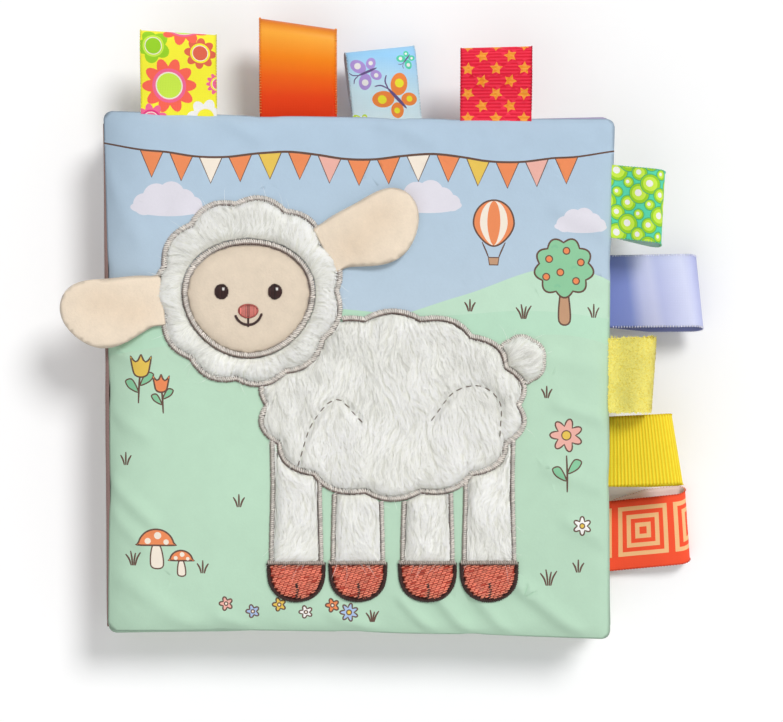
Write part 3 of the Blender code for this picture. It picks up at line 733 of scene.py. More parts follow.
def apple_tree(x, y, size):
    """A round lobed crown with fruit, on a trunk."""
    trunk = at(x, y, size, (-0.12, -1.15), (-0.07, -0.4), (0.08, -0.4), (0.15, -1.15))
    shapes = outlined("trunk", curve(trunk, 30, True))
    shapes += outlined("crown", lobed(x, y, size * 0.66, 9, 0.16, 9, 0.2), 0.55)
    for spot in at(x, y, size, (-0.32, 0.18), (0.05, 0.36), (0.36, 0.12), (-0.08, -0.10), (-0.38, -0.20),
                   (0.26, -0.28)):
        shapes += outlined("coral", oval(*spot, size * 0.085), 0.35)
    for spot in at(x, y, size, (-0.2, 0.42), (0.22, -0.02), (-0.14, -0.42)):
        shapes.append(("leaf", stroke(at(*spot, size, (-0.07, 0), (0, 0.05), (0.07, 0)), 0.8)))
    return shapes


def balloon(x, y, size):
    """A hot-air balloon: an envelope with upright gores, ropes and a basket."""
    angle = round_turn(48)
    narrow = 1 - 0.28 * np.clip(-np.sin(angle), 0, 1) ** 1.6
    body = np.stack([x + size * 0.55 * narrow * np.cos(angle), y + size * 0.62 * np.sin(angle)], 1)
    shapes = outlined("coral", body)
    for wide, dye in ((0.36, "cream"), (0.17, "coral")):
        gore = [x + size * wide * narrow * np.cos(angle), y + (size * 0.62 - 0.5) * np.sin(angle)]
        shapes.append((dye, np.stack(gore, 1)))
    for side in (-1, 1):
        rope = at(x, y, size, (side * 0.3, -0.5), (side * 0.2, -0.72), (side * 0.13, -0.9))
        shapes.append(("line", stroke(rope, 0.45)))
    basket = at(x, y, size, (-0.15, -0.88), (0.15, -0.88), (0.12, -1.1), (-0.12, -1.1))
    return shapes + outlined("trunk", basket, 0.4)


def bunting(flags, y, high):
    """A sagging string of pennants from side to side, coral with other dyes among them."""
    x = np.linspace(-66, 66, flags + 1)
    sag = y - 2.2 * np.sin(np.linspace(0, math.pi * 3, flags + 1)) ** 2
    shapes = []
    dyes = ("coral", "coral", "cream", "coral", "yellow", "coral", "pink")
    for k in range(flags):
        a, b = np.array(((x[k] + 0.8, sag[k]), (x[k + 1] - 0.8, sag[k + 1])))
        shapes += outlined(dyes[k % 7], np.array((a, (a + b) / 2 - (0, high), b)), 0.42)
    line = np.stack([np.concatenate([[-82], x, [82]]), np.concatenate([[y + 3], sag, [y + 3]])], 1)
    return shapes + [("line", stroke(line, 0.7, 80))]


def cover_print():
    """The front cover's picture: rolling meadow under a pale sky, with a string of pennants at the top."""
    shapes = cloud(-57, 50, 11) + cloud(20, 52, 10.5) + cloud(66, 46, 8)
    shapes += hill("far_hill", (-84, 20), (-62, 27), (-34, 22), (0, 16), (30, 24), (58, 33), (84, 27))
    shapes += balloon(40, 46, 11.5)
    shapes += hill("near_hill", (-84, 8), (-60, 15), (-20, 20), (20, 18), (52, 20), (84, 17))
    shapes += apple_tree(61, 33, 14) + tuft(49, 17.5, 4) + tuft(70, 18.2, 3.6, 3) + tuft(33, 19.5, 3.2, 3)
    shapes += hill("meadow", (-84, 3), (-50, 9), (-10, 14), (30, 10), (60, 13), (84, 8))
    shapes += bunting(15, 66.5, 8.2)
    shapes += tulip(-66, 1, 7.0, "yellow", 0.8) + tulip(-58.5, -4, 5.6, "coral", -0.6)
    shapes += daisy(62, -17, 5.2, "pink") + sprig(62.4, -34, 11, -0.3)
    shapes += daisy(67, -44, 3.0, "white", "yellow", 6)
    shapes += toadstool(-61, -52, 9.0) + toadstool(-53.5, -56.5, 6.0)
    shapes += tuft(-68, -58, 4) + tuft(-47, -60, 3.4, 3)
    shapes += daisy(-3, -71, 3.0, "blue") + tuft(4, -74, 3.4) + tuft(57, -62, 4.4) + tuft(66, -58, 3.4, 3)
    shapes += tuft(-36, -40, 3.4, 3) + tuft(56, -6, 3.2, 3) + tuft(-70, -28, 3.4, 3)
    for k, dye in enumerate(("pink", "blue", "yellow", "white", "coral")):
        shapes += daisy(-40 + 8 * k, -70 + 1.1 * (-1) ** k, 2.3, dye, "cream", 5)
    return "sky", shapes


def page_print(kind):
    """A simple picture for an inner page: hills and one large motif with small ones round it."""
    if kind == 0:
        shapes = cloud(-38, 46, 13) + cloud(36, 54, 12)
        shapes += hill("meadow", (-84, -6), (-30, 6), (30, -2), (84, 8))
        shapes += apple_tree(2, 22, 44) + tulip(-50, -30, 9, "yellow") + tulip(48, -34, 9, "pink", 1)
        return "sky", shapes + tuft(-10, -48, 6) + tuft(30, -60, 6) + daisy(-30, -58, 5, "white")
    if kind == 1:
        spots = [(-55 + 27.5 * (k % 5) + 7 * (k // 5 % 2), -60 + 27 * (k // 5)) for k in range(25)]
        dyes = ("coral", "pink", "yellow", "lime", "blue") * 5
        flowers = [(dye, lobed(*spot, 7.5, 6, 0.3, 8)) for dye, spot in zip(dyes, spots)]
        return "cream", flowers + [("white", oval(*spot, 2.4)) for spot in spots]
    if kind == 2:
        shapes = hill("meadow", (-84, -40), (0, -30), (84, -42)) + sprig(0, -66, 52, 0)
        shapes += outlined("yellow", lobed(0, 12, 34, 14, 0.2, 8), 0.8)
        return "pink", shapes + outlined("coral", oval(0, 12, 15), 0.7)
    if kind == 3:
        shapes = cloud(-30, 50, 14) + cloud(44, 38, 11) + balloon(4, 16, 40)
        shapes += hill("near_hill", (-84, -50), (-20, -42), (40, -54), (84, -44))
        return "low_sky", shapes + tuft(44, -48, 6)
    if kind == 4:
        shapes = hill("meadow", (-84, -10), (-20, -22), (50, -8), (84, -16))
        shapes += toadstool(-16, 4, 44) + toadstool(38, -24, 24) + tuft(-52, -30, 8) + tuft(10, -60, 7)
        return "lilac", shapes
    if kind == 5:
        spots = [(-54 + 27 * (k % 5), -60 + 30 * (k // 5)) for k in range(25)]
        shapes = [("low_sky", star(*spot, 7, turn=0.3 * k)) for k, spot in enumerate(spots)]
        return "night", shapes + outlined("cream", oval(14, 16, 26), 0.8) + [("night", oval(26, 22, 23))]
    shapes = cloud(-42, 56, 12) + cloud(38, 50, 14)
    shapes += hill("near_hill", (-84, 14), (-20, 26), (40, 12), (84, 24))
    shapes += hill("meadow", (-84, -6), (-10, 6), (50, -8), (84, 4))
    shapes += outlined("yellow", oval(0, 50, 10), 0.6)
    for k in range(7):
        shapes += daisy(-54 + 18 * k, -34 - 12 * (k % 2), 4.5, ("white", "pink", "blue")[k % 3])
    return "sky", shapes


def top_dyes(ground, shapes, covered):
    """The dye of the last shape over each triangle, or of the ground: its name, and its colour per corner."""
    names = np.array([ground, *(name for name, _ in shapes)])
    last = (covered * np.arange(1, covered.shape[1] + 1)).max(1, initial=0)
    return names[last], np.repeat(np.array([rgb(DYES[name]) for name in names])[last][:, None], 3, 1)


def dye_corners(points, triangles, ground, shapes, covered):
    """Linear colour for each triangle corner: the dye of the last shape over it, the sky paler lower down and
    the ground a little lighter in soft patches. points are in millimetres."""
    names, corners = top_dyes(ground, shapes, covered)
    names, x, y = names[:, None, None], points[triangles][..., :1], points[triangles][..., 1:]
    pale = np.clip((70 - y) / 62, 0, 1) ** 1.2
    corners = np.where(names == "sky", corners * (1 - pale) + rgb(DYES["low_sky"]) * pale, corners)
    soft, patch = (soft_noise(x + 200, y + 200, size, seed) for size, seed in ((5, 2), (24, 5)))
    corners = np.where(names == "cloud", corners * (0.985 + 0.03 * soft), corners)
    grass = np.isin(names, ("meadow", "near_hill", "far_hill"))
    return np.where(grass, corners * (1 + 0.04 * patch), corners)


PAGE_KINDS = {"back_cover": (0, 6), "rear_leaf": (2, 1), "front_leaf": (4, 3), "front_cover": (None, 5)}
# Painted shade: the print is darkened by a share along the seam, and on the cover by another where it turns
# down to the spine. With each comes the width in millimetres.
SEAM_PAINTED_SHADE, SEAM_PAINTED_SHADE_WIDTH = 0.10, 1.1
SPINE_PAINTED_SHADE, SPINE_PAINTED_SHADE_WIDTH = 0.17, 10
# Distance between the points of the cloth, in millimetres: along the seam, on the cover and on the pages
SEAM_SPACING, COVER_SPACING, PAGE_SPACING = 1.2, 1.2, 2.6


def make_leaf(leaf):
    """One padded leaf: both printed cloths cut by one set of triangles, so that they share their seam, and
    carried onto the simulated swell. The seam itself is drawn in, with painted shade along it, and the cover
    has more painted shade where it turns down to the spine."""
    cover, outline = leaf == "front_cover", flat_outline(SEAM_SPACING)
    above = cover_print() if cover else page_print(PAGE_KINDS[leaf][0])
    below = page_print(PAGE_KINDS[leaf][1])
    layers = [shape for _, shape in above[1] + below[1]]
    points, triangles, covered = cut_flat(outline, layers, COVER_SPACING if cover else PAGE_SPACING)
    split = len(above[1])
    tops = dye_corners(points, triangles, *above, covered[:, :split])
    lows = dye_corners(points, triangles, *below, covered[:, split:])
    x, y = points.T * MM
    top, low = leaf_outside(leaf, 1, x, y), leaf_outside(leaf, -1, x, y)
    rim = np.unique(rim_edges(triangles))
    top[rim] = low[rim] = (top[rim] + low[rim]) / 2
    shape, faces, _ = thicken(top, triangles, low, rim_shared=True)
    # Painted shade: darker along the seam, and on the cover where it turns down to the spine
    dark = 1 - SEAM_PAINTED_SHADE + SEAM_PAINTED_SHADE * np.clip(distance(points, outline) / SEAM_PAINTED_SHADE_WIDTH, 0, 1)
    if cover:
        dark *= 1 - SPINE_PAINTED_SHADE * np.exp(-(((points[:, 0] + HALF_WIDTH / MM) / SPINE_PAINTED_SHADE_WIDTH) ** 2))
    dark = dark[triangles][..., None]
    corners = np.concatenate([tops * dark, (lows * dark)[:, ::-1]])
    made = piece(leaf + "_cloth", shape, faces, corners, printed_polyester(), leaf,
                 "printed_cloth" if cover else "page_cloth",
                 [leaf + "_upper_cloth", leaf + "_lower_cloth", leaf + "_batting"])


# Each ribbon: shares of the usual width, reach and height, how far it is sewn off its place, its lean, how
# far its lower layer is set off along the edge, the share by which one side reaches further than the middle,
# and the dyes of its under face and of the stitches along its edges
TAG_REACH, TAG_HALF_GAP, TAG_WIDTH = 0.024, 0.0034, 0.0224
RIBBONS = {
    "flower_ribbon": (1.02, 1.00, 1.00, 0, 0, -0.0003, -0.03, "#F6F1C9", "#F0E968"),
    "orange_satin_ribbon": (1.04, 1.18, 1.15, 0, 0, -0.0003, -0.06, "#A8400E", "#FFA050"),
    "blue_ribbon": (0.94, 0.90, 1.00, 0, -0.10, -0.0008, 0.05, "#E4EFF6", "#D6E8F3"),
    "star_ribbon": (0.955, 0.83, 1.00, -0.0002, 0, 0.0004, 0.015, "#C23A4C", "#C41E3A"),
    "green_ribbon": (0.98, 0.61, 1.00, 0.0003, -0.12, -0.0010, 0.04, "#BFE0D2", "#7FD3B6"),
    "lilac_satin_ribbon": (0.985, 1.16, 1.15, 0, 0.01, -0.0014, -0.04, "#8E96CE", "#F0F1FF"),
    "yellow_plush_ribbon": (0.98, 0.524, 1.10, -0.0004, 0, 0.0006, 0.06, "#D9BC3C", None),
    "yellow_grosgrain_ribbon": (0.95, 0.842, 1.00, -0.0006, 0.05, -0.0008, -0.085, "#E9CB22", "#F3D81E"),
    "square_ribbon": (0.96, 1.02, 0.90, -0.0023, 0.11, 0.0022, -0.03, "#F3DAD6", "#D9442A"),
}
# Half the gap at the seam, how high the ribbon waves across its width, and how far out that wave and the
# set-off of the lower layer have grown to their full size
ROOT_HALF_GAP, RIBBON_WAVE, RIBBON_FADE = 0.0003, 0.00035, 0.012
# Two points of the root inside the seam: out and up
ROOT = ((-0.0026, 0.00020), (-0.0012, 0.00022))
RIBBON_THICKNESS, RIBBON_LEAST_HEIGHT = 0.0003, 0.0005


class Loop:
    """One ribbon's path: out from the seam on its upper layer, round the fold and back on its lower one."""

    def __init__(self, name):
        joint = JOINTS[name + "_bend"]
        self.name, self.leaf, self.at_head = name, joint["parent"], joint["axis"][0] > 0.5
        wide, reach, high, off, self.lean, self.offset, self.tilt, *self.dyes = RIBBONS[name]
        self.width = TAG_WIDTH * wide
        self.pivot = np.array(joint["pos_m"], float)
        self.pivot[0 if self.at_head else 1] += off
        half_gap = TAG_HALF_GAP * high
        straight = TAG_REACH * reach - half_gap
        share = np.linspace(0, 1, 40)
        swell = ROOT_HALF_GAP + (half_gap - ROOT_HALF_GAP) * np.sin(np.pi / 2 * share) ** 2
        turn = np.linspace(np.pi / 2, -np.pi / 2, 26)[1:-1]
        upper = np.concatenate([ROOT, np.stack([straight * share, swell], 1)])
        fold = np.stack([straight + half_gap * np.cos(turn), half_gap * np.sin(turn)], 1)
        self.path = even(np.concatenate([upper, fold, (upper * (1, -1))[::-1]]), 240)
        self.far = np.concatenate([[0], np.cumsum(np.linalg.norm(np.diff(self.path, axis=0), axis=1))])
        self.length = float(self.far[-1])
        along = unit(np.gradient(self.path, axis=0))
        self.normal = np.stack([-along[:, 1], along[:, 0]], 1)

    def place(self, across, along, rise=0.0):
        """Points for places across and along the ribbon: its path at that length, moved out by rise, with the
        ribbon's lean and tilt, and its lower layer set off sideways."""
        lines = (*self.path.T, *self.normal.T)
        reach, height, ahead, up = (np.interp(along, self.far, line) for line in lines)
        lower = np.clip((along - self.length * 0.42) / (self.length * 0.16), 0, 1)
        lower = lower * lower * (3 - 2 * lower)
        fade = np.clip(reach / RIBBON_FADE, 0, 1)
        wave = np.cos(across / self.width * math.pi * 1.4 + lower * 3)
        height = height + RIBBON_WAVE * fade * wave * (1 - 2 * lower)
        reach, height = reach + rise * ahead, height + rise * up
        side = across + self.lean * reach + self.offset * lower * fade
        reach = reach * (1 + self.tilt * across / (self.width / 2))
        flat = (side, reach) if self.at_head else (reach, side)
        spots = self.pivot + np.stack([*flat, height], -1)
        spots[:, 2] = np.maximum(spots[:, 2], RIBBON_LEAST_HEIGHT - np.minimum(rise, 0))
        return spots


def bend_with(made):
    """Moves the piece's placement into its points."""
    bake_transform(made)


def ribbon_piece(loop, points, triangles, corners, rise, material, stitches):
    """A ribbon from its flat pattern in millimetres: both faces, closed at its rim, its under face in its own
    dye, with the stitches that are on it."""
    across, along = points.T * MM
    outer = loop.place(across, along, rise)
    under = loop.place(across, along, np.full_like(along, -RIBBON_THICKNESS))
    if not loop.at_head:
        triangles, corners = triangles[:, ::-1], corners[:, ::-1]
    shape, faces, part = thicken(outer, triangles, under)
    dyes = np.tile(rgb(loop.dyes[0]), (len(faces), 3, 1))
    dyes[part == 0] = corners
    dyes[part == 2] = corners.reshape(-1, 3).mean(0) * 0.85
    made = piece(loop.name + "_cloth", *joined((shape, faces, dyes), *stitches), material, None, loop.name,
                 [loop.name])
    bend_with(made)


def bars(start, end, width, rise, colours, rows=6, up=(0.0, 0.0, 1.0)):
    """Threads as small closed bars with three sides, one from each start to its end: they arch along up by
    rise, and narrow at both ends. colours has one for each bar or one for all."""
    share = np.linspace(0, 1, rows)[:, None]
    arch = np.sin(math.pi * (0.06 + 0.88 * share)) ** 0.6
    narrow = 0.45 + 0.55 * np.sin(math.pi * (0.08 + 0.84 * share)) ** 0.5
    along, up = (end - start)[:, None], np.broadcast_to(up, start.shape)[:, None]
    centre = start[:, None] + along * share + up * rise * arch
    half, drop = unit(np.cross(along, up)) * width / 2 * narrow, up * width * 0.25
    rings = np.stack([centre - half - drop, centre + half - drop, centre + up * width * 0.42 * narrow], 2)
    caps = ((0, 1, 2), (3 * rows - 1, 3 * rows - 2, 3 * rows - 3))
    template = np.concatenate([grid_faces(rows, 3, closed_columns=True)[:, ::-1], caps])
    faces = (template[None] + (np.arange(len(start)) * rows * 3)[:, None, None]).reshape(-1, 3)
    dyes = np.repeat(np.broadcast_to(colours, start.shape), len(template), 0)
    return rings.reshape(-1, 3), faces, np.repeat(dyes[:, None], 3, 1)


def strip_outline(wide, long, spacing):
    """The rim of a ribbon's flat pattern, in millimetres: across from its middle, along from its root."""
    across = np.linspace(-wide / 2, wide / 2, int(wide / spacing) + 2)
    along = np.linspace(0, long, int(long / spacing) + 2)
    sides = ((across, 0 * across), (0 * along + wide / 2, along), (across[::-1], 0 * across + long),
             (0 * along - wide / 2, along[::-1]))
    return np.concatenate([np.stack(side, 1)[:-1] for side in sides])


def butterfly(x, y, size, turn, dye, spot):
    """Four rounded wings, a slim body and two feelers."""
    pairs = (0.46, 0.34, 0.46, 0.34, 0.6), (0.34, -0.36, 0.32, 0.26, -0.7)
    spots = (0.50, 0.36, 0.18), (0.36, -0.36, 0.12)
    wings = [(dye, oval(k * a, b, p, q, turn=k * t)) for a, b, p, q, t in pairs for k in (-1, 1)]
    wings += [(spot, oval(k * a, b, r)) for a, b, r in spots for k in (-1, 1)]
    feelers = [("wing_line", stroke(((0, 0.5), (k * 0.12, 0.8), (k * 0.34, 0.95)), 0.06, 8)) for k in (-1, 1)]
    c, s = math.cos(turn), math.sin(turn)
    return [(name, shape * size @ ((c, s), (-s, c)) + (x, y))
            for name, shape in wings + [("wing_line", oval(0, 0, 0.07, 0.56))] + feelers]


# Flowers on their ribbon: place and radius in millimetres, petals, and the dyes of petals, ring and heart
FLOWERS = (
    (-2.8, 10.6, 8.2, 10, "hot_coral", "rose", "lime"), (6.6, 20.6, 4.8, 8, "red", "bright_yellow", "red"),
    (-7.4, 22.2, 5.2, 5, "deep_lime", "lime", "deep_lime"), (-8.4, 0.4, 5.0, 9, "rose", "deep_rose", "rose"),
    (8.0, 1.2, 5.6, 7, "white", "white", "bright_yellow"),
    (11.8, 11.4, 3.6, 12, "rose", "bright_yellow", "rose"), (1.4, 30, 7.4, 9, "hot_coral", "rose", "lime"),
    (-6, 43, 6, 8, "rose", "white", "lime"), (7, 46, 5.5, 7, "white", "white", "hot_coral"))
# Butterflies on theirs: place and half span in millimetres, turn, and the dyes of wings and spots
BUTTERFLIES = (
    (3.6, 9.2, 7.4, 0.7, "wing_orange", "bright_yellow"), (-4.6, 17.6, 5.6, 1.9, "wing_lilac", "white"),
    (7.6, 20.6, 3.0, 2.4, "teal", "white"), (-7.6, 2.0, 3.2, 1.9, "lime", "white"),
    (0, 31, 6, 1, "wing_lilac", "white"), (3, 43, 5, 2, "wing_orange", "white"))
PLAIN_RIBBONS = {"orange_satin_ribbon": "wing_orange", "lilac_satin_ribbon": "lilac",
                 "yellow_plush_ribbon": "plush_yellow", "yellow_grosgrain_ribbon": "grosgrain_yellow"}
# Ribbons whose ground changes along them: on the two satins the change is painted highlight and shade that
# stands in for their sheen; on the blue ribbon it is its printed fade. How far the change slants per
# millimetre across, and its colours at shares of the length
PAINTED_SHEEN_AND_PRINTED_FADES = {
    "orange_satin_ribbon": (0, (
        (0.03, "#EE3600"), (0.13, "#F04200"), (0.22, "#F66400"), (0.31, "#FC8A0C"), (0.41, "#FFAE3C"),
        (0.46, "#E07A18"), (0.52, "#C4500A"), (1, "#B83C04"))),
    "lilac_satin_ribbon": (0.0016, (
        (0.03, "#8090D4"), (0.13, "#8E9DDC"), (0.19, "#CDD3F8"), (0.24, "#D8DCFC"), (0.28, "#C8CEF6"),
        (0.40, "#DEE2FE"), (0.47, "#B8BEEA"), (0.54, "#8790CA"), (1, "#828CC4"))),
    "blue_ribbon": (0.003, ((0, "#E6FCFF"), (0.2, "#DAF8FF"), (0.42, "#9FD6FC"), (1, "#B4DCF4"))),
}


def bricks(rows, step, reach):
    """Row, column, x and y of dots set like bricks, in rows at those heights and out to that reach."""
    dots = [(k, i, (i + k % 2 / 2) * step, y) for k, y in enumerate(rows) for i in range(-3, 4)]
    return [dot for dot in dots if abs(dot[2]) < reach]


def ribbon_print(name, wide, long):
    """The ground dye and printed shapes of a ribbon, in millimetres on its flat pattern."""
    shapes = []
    if name == "flower_ribbon":
        for x, y, r, petals, dye, ring, heart in FLOWERS:
            shapes += [(dye, lobed(x, y, r, petals, 0.30, 7, x)), (ring, oval(x, y, r * 0.62)),
                       ("cream", oval(x, y, r * 0.50)), (heart, oval(x, y, r * 0.45))]
        return "bright_yellow", shapes
    if name == "blue_ribbon":
        for row in BUTTERFLIES:
            shapes += butterfly(*row)
        return "pale_blue", shapes
    if name == "star_ribbon":
        for k, _, x, y in bricks(np.arange(1.2, long, 3.75), 8.4, wide / 2 + 1):
            shapes.append(("star_orange", star(x, y, 2.05, 0.5, 0.3 * k)))
        return "star_red", shapes
    if name == "green_ribbon":
        for k, i, x, y in bricks(np.arange(0.2, long, 3.3), 6.2, wide / 2 + 1.5):
            r = (2.9, 1.5, 2.2)[(k + 2 * i) % 3]
            shapes += [("leaf_edge", oval(x, y, r + 0.25)), ("deep_lime", oval(x, y, r)),
                       ("lime", oval(x + 0.1, y - 0.1, r * 0.74)),
                       ("white", oval(x + 0.2, y - 0.3, r * 0.36, None, 14))]
        return "teal", shapes
    if name == "square_ribbon":
        for y in np.arange(13.3 - 17.2, long, 17.2):
            for k, half in enumerate((7.6, 6.3, 5.0, 3.7, 2.4, 1.1)):
                corner = np.array(((-half, -half), (half, -half), (half, half), (-half, half)))
                shapes.append((("square_orange", "square_red")[k % 2], corner + (0.9, y)))
        return "square_red", shapes
    return PLAIN_RIBBONS[name], shapes


def clip_shapes(shapes, low, high):
    """Printed shapes held just inside the pattern's rim, so that it stays as cut, with more points along
    their sides, so that they follow the fold."""
    held = [(dye, np.clip(shape, low, high)) for dye, shape in shapes]
    return [(dye, dense(shape, 0.7)) for dye, shape in held if abs(signed_area(shape)) > 0.02]


def along_blend(along, stops):
    """Linear colours along a ribbon between the given places and hex colours."""
    places, dyes = zip(*stops)
    return np.stack([np.interp(along, places, line) for line in np.array([*map(rgb, dyes)]).T], -1)


def rim_stitches(loop, pitch, reach):
    """Tiny stitches over a ribbon's two edges at that pitch."""
    along = np.arange(0.004, loop.length - 0.004, pitch)
    dyes = rgb(loop.dyes[1]) * np.random.default_rng(5).uniform(0.85, 1.1, (len(along), 1))
    shapes = []
    half, places = loop.width / 2, ((reach, 0.00008), (-reach * 0.3, 0.00005), (0, 0), (0, 0.001))
    for sign in (-1, 1):
        inner, outer, low, high = (loop.place(sign * (half - off), along, rise) for off, rise in places)
        shapes.append(bars(inner, outer, pitch * 0.5, 0.00003, dyes, 4, unit(high - low)))
    return joined(*shapes)


# Height of the ribs of grosgrain, in metres, and the width over which a ribbon darkens to its edge, in
# millimetres
RIB_HEIGHT, EDGE_SHADE_WIDTH = 0.00013, 0.9


def make_ribbon(name):
    """One ribbon loop with its own weave, print and edge stitches. Ribs die out near its root."""
    loop = Loop(name)
    wide, long = loop.width / MM, loop.length / MM
    satin, plushy = "satin" in name, "plush" in name
    grosgrain = name in ("star_ribbon", "yellow_grosgrain_ribbon")
    ground, shapes = ribbon_print(name, wide, long)
    rib = bpy.context.scene.cloth_book.ribbons.rib_pitch / MM
    spacing = (1.6, rib / 4) if grosgrain else (1.4, 0.8)
    shapes = clip_shapes(shapes, (-wide / 2 + 0.02, 0.02), (wide / 2 - 0.02, long - 0.02))
    pattern = [shape for _, shape in shapes]
    points, triangles, covered = cut_flat(strip_outline(wide, long, spacing[1]), pattern, spacing)
    seen, corners = top_dyes(ground, shapes, covered)
    across, along = points[triangles][..., 0], points[triangles][..., 1] / long
    # On the satins this is painted highlight and shade; on the blue ribbon, its print
    if name in PAINTED_SHEEN_AND_PRINTED_FADES:
        slant, stops = PAINTED_SHEEN_AND_PRINTED_FADES[name]
        sheen_and_print_fade = along_blend(along + slant * across, stops)
        corners = np.where((seen == ground)[:, None, None], sheen_and_print_fade, corners)
    rise = np.zeros(len(points))
    if grosgrain:
        root, ribs = np.minimum(points[:, 1], long - points[:, 1]), np.cos(points[:, 1] / rib * math.tau)
        rise = RIB_HEIGHT * ribs * np.clip((root - 2.8) / 1.2, 0, 1)
        # Painted light and shade on the ribs: crests lighter, valleys darker and warmer
        shaded_valley, lit_crest = corners * (0.86, 0.74, 0.60), corners * 1.12 + 0.03
        corners = np.minimum(shaded_valley + (lit_crest - shaded_valley) * (0.5 + 0.5 * ribs)[triangles][..., None], 1)
    more, stitches = [], []
    material = satin_ribbon() if satin else grosgrain_ribbon() if grosgrain else printed_ribbon()
    if plushy:
        material = plush_ribbon()
        more = [piece(name + "_pile", *plush(loop), material, None, name)]
        bend_with(more[0])
    else:
        stitches = [rim_stitches(loop, *((0.0008, 0.0005) if satin else (0.0009, 0.00025)))]
    edge = np.clip((np.abs(across) - wide / 2 + EDGE_SHADE_WIDTH) / EDGE_SHADE_WIDTH, 0, 1)
    corners = corners * (1 - 0.10 * edge)[..., None]
    ribbon_piece(loop, points, triangles, corners, rise, material, stitches)


def plush(loop):
    """Short dense pile over the outer face of a ribbon loop: blades that leave it, bow over and come down
    again towards their tips, each its own way."""
    rng = np.random.default_rng(21)
    count = 9000
    across = rng.uniform(-0.5, 0.5, count) * (loop.width + 0.0003)
    along = rng.uniform(0.0018, loop.length - 0.0018, count)
    root = loop.place(across, along)
    up = unit(loop.place(across, along, 0.001) - root)
    ahead = unit(loop.place(across, along + 0.0005) - root)
    lean = rng.uniform(0, math.tau, (count, 1)) + 2.5 * soft_noise(across + 0.1, along, 0.006, 9)[:, None]
    flow = ahead * np.cos(lean) + np.cross(up, ahead) * np.sin(lean)
    tone = (0.97 + 0.05 * soft_noise(across + 0.1, along, 0.004, 6) + rng.normal(0, 0.03, count))[:, None]
    low, high = rgb("#FFEC5A"), rgb("#FFF792")
    long = 0.0008 * rng.uniform(0.7, 1.2, (count, 1))
    stations = [root + flow * long * share + up * long * 0.5 * rise
                for share, rise in ((0.0, 0.0), (0.35, 0.38), (0.7, 0.5), (1.0, 0.36))]
    return blades(np.stack(stations, 1), unit(np.cross(flow, up)), 0.0003, low * tone, high * tone)


def blades(stations, side, wide, root_dye, tip_dye):
    """Fibres as flat tapered blades through four points each, ending in a tip. The dye goes root to tip."""
    count = len(stations)
    half = side * np.broadcast_to(wide, (count, 1)) / 2
    rows = []
    for k, breadth in enumerate((0.9, 1.0, 0.75)):
        rows += [stations[:, k] - half * breadth, stations[:, k] + half * breadth]
    points = np.stack([*rows, stations[:, 3]], 1)
    template = np.array(((0, 2, 1), (1, 2, 3), (2, 4, 3), (3, 4, 5), (4, 6, 5)))
    a, b, c = (points[0, template[0, k]] for k in range(3))
    if np.cross(b - a, c - a)[2] < 0:
        template = template[:, ::-1]
    faces = (template[None] + (np.arange(count) * 7)[:, None, None]).reshape(-1, 3)
    share = np.array((0, 0, 0.45, 0.45, 0.8, 0.8, 1))[template][None, :, :, None]
    dyes = root_dye[:, None, None] * (1 - share) + tip_dye[:, None, None] * share
    return points.reshape(-1, 3), faces, dyes.reshape(-1, 3, 3)


# The spine's tape, in metres: its width as cut and its thickness, how far it lies inside the leaves' edge,
# reaches into a seam and bows, the radius of its bends, how far the uppermost length leans out, and over what
# height its hold goes from one leaf to the next
TAPE_WIDTH, TAPE_THICKNESS, TAPE_INSET, TAPE_HOOK, TAPE_BOW = 0.010, 0.00035, 0.0002, 0.0016, 0.00015
TAPE_BEND, TAPE_LEAN, TAPE_HINGE = 0.0006, 0.0005, 0.0001


def make_spine():
    """The cotton tape behind the leaves, in three lengths. Each is a profile carried along the book's height:
    out of one seam, along the back and into the next. The uppermost leans out to the edge of the cover, which
    narrows to its foot."""
    bend, out, high = TAPE_BEND, -HALF_WIDTH + TAPE_INSET, HALF_HEIGHT - CORNER_RADIUS
    y, turn = np.linspace(-high, high, 90), np.linspace(0, math.pi / 2, 7)
    for below, above in zip(LEAVES[:-1], LEAVES[1:]):
        low, top = SEAM_HEIGHT[below], SEAM_HEIGHT[above]
        profile = np.concatenate([
            [(out + TAPE_HOOK + bend, low)],
            np.stack([out + bend - bend * np.sin(turn), low + bend - bend * np.cos(turn)], 1),
            np.stack([np.full(9, out), np.linspace(low + bend, top - bend, 11)[1:-1]], 1),
            np.stack([out + bend - bend * np.cos(turn), top - bend + bend * np.sin(turn)], 1),
            [(out + TAPE_HOOK + bend, top)]])
        profile = even(profile, 26)
        side = profile[:, 0] + TAPE_BOW * soft_noise(y + 0.2, np.full_like(y, low), 0.012, 6)[:, None]
        if above == "front_cover":
            lean = TAPE_LEAN + COVER_SPREAD * HALF_WIDTH * y / HALF_HEIGHT
            side = side - lean[:, None] * (profile[:, 1] - low) / (top - low)
        shape = np.stack(np.broadcast_arrays(side, y[:, None], profile[:, 1]), -1).reshape(-1, 3)
        points, faces, _ = thicken(shape, grid_faces(90, 26)[:, ::-1], shape + (TAPE_THICKNESS, 0, 0))
        dyes = np.tile(rgb("#8C736E"), (len(faces), 3, 1))
        tape = piece(f"spine_tape_{below}", points, faces, dyes, twill_tape(), None, "printed_cloth",
                     ["spine_cloth"] if below == "back_cover" else ())
        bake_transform(tape)
        min(1, length(profile) / TAPE_WIDTH) * 2 * TAPE_WIDTH * high


# What the camera looks at, in metres: the middle of the picture, and the height where its width is taken
SEEN_MIDDLE, SEEN_HEIGHT = (0.0097, 0.0042), 0.0268
SENSOR_WIDTH = 36


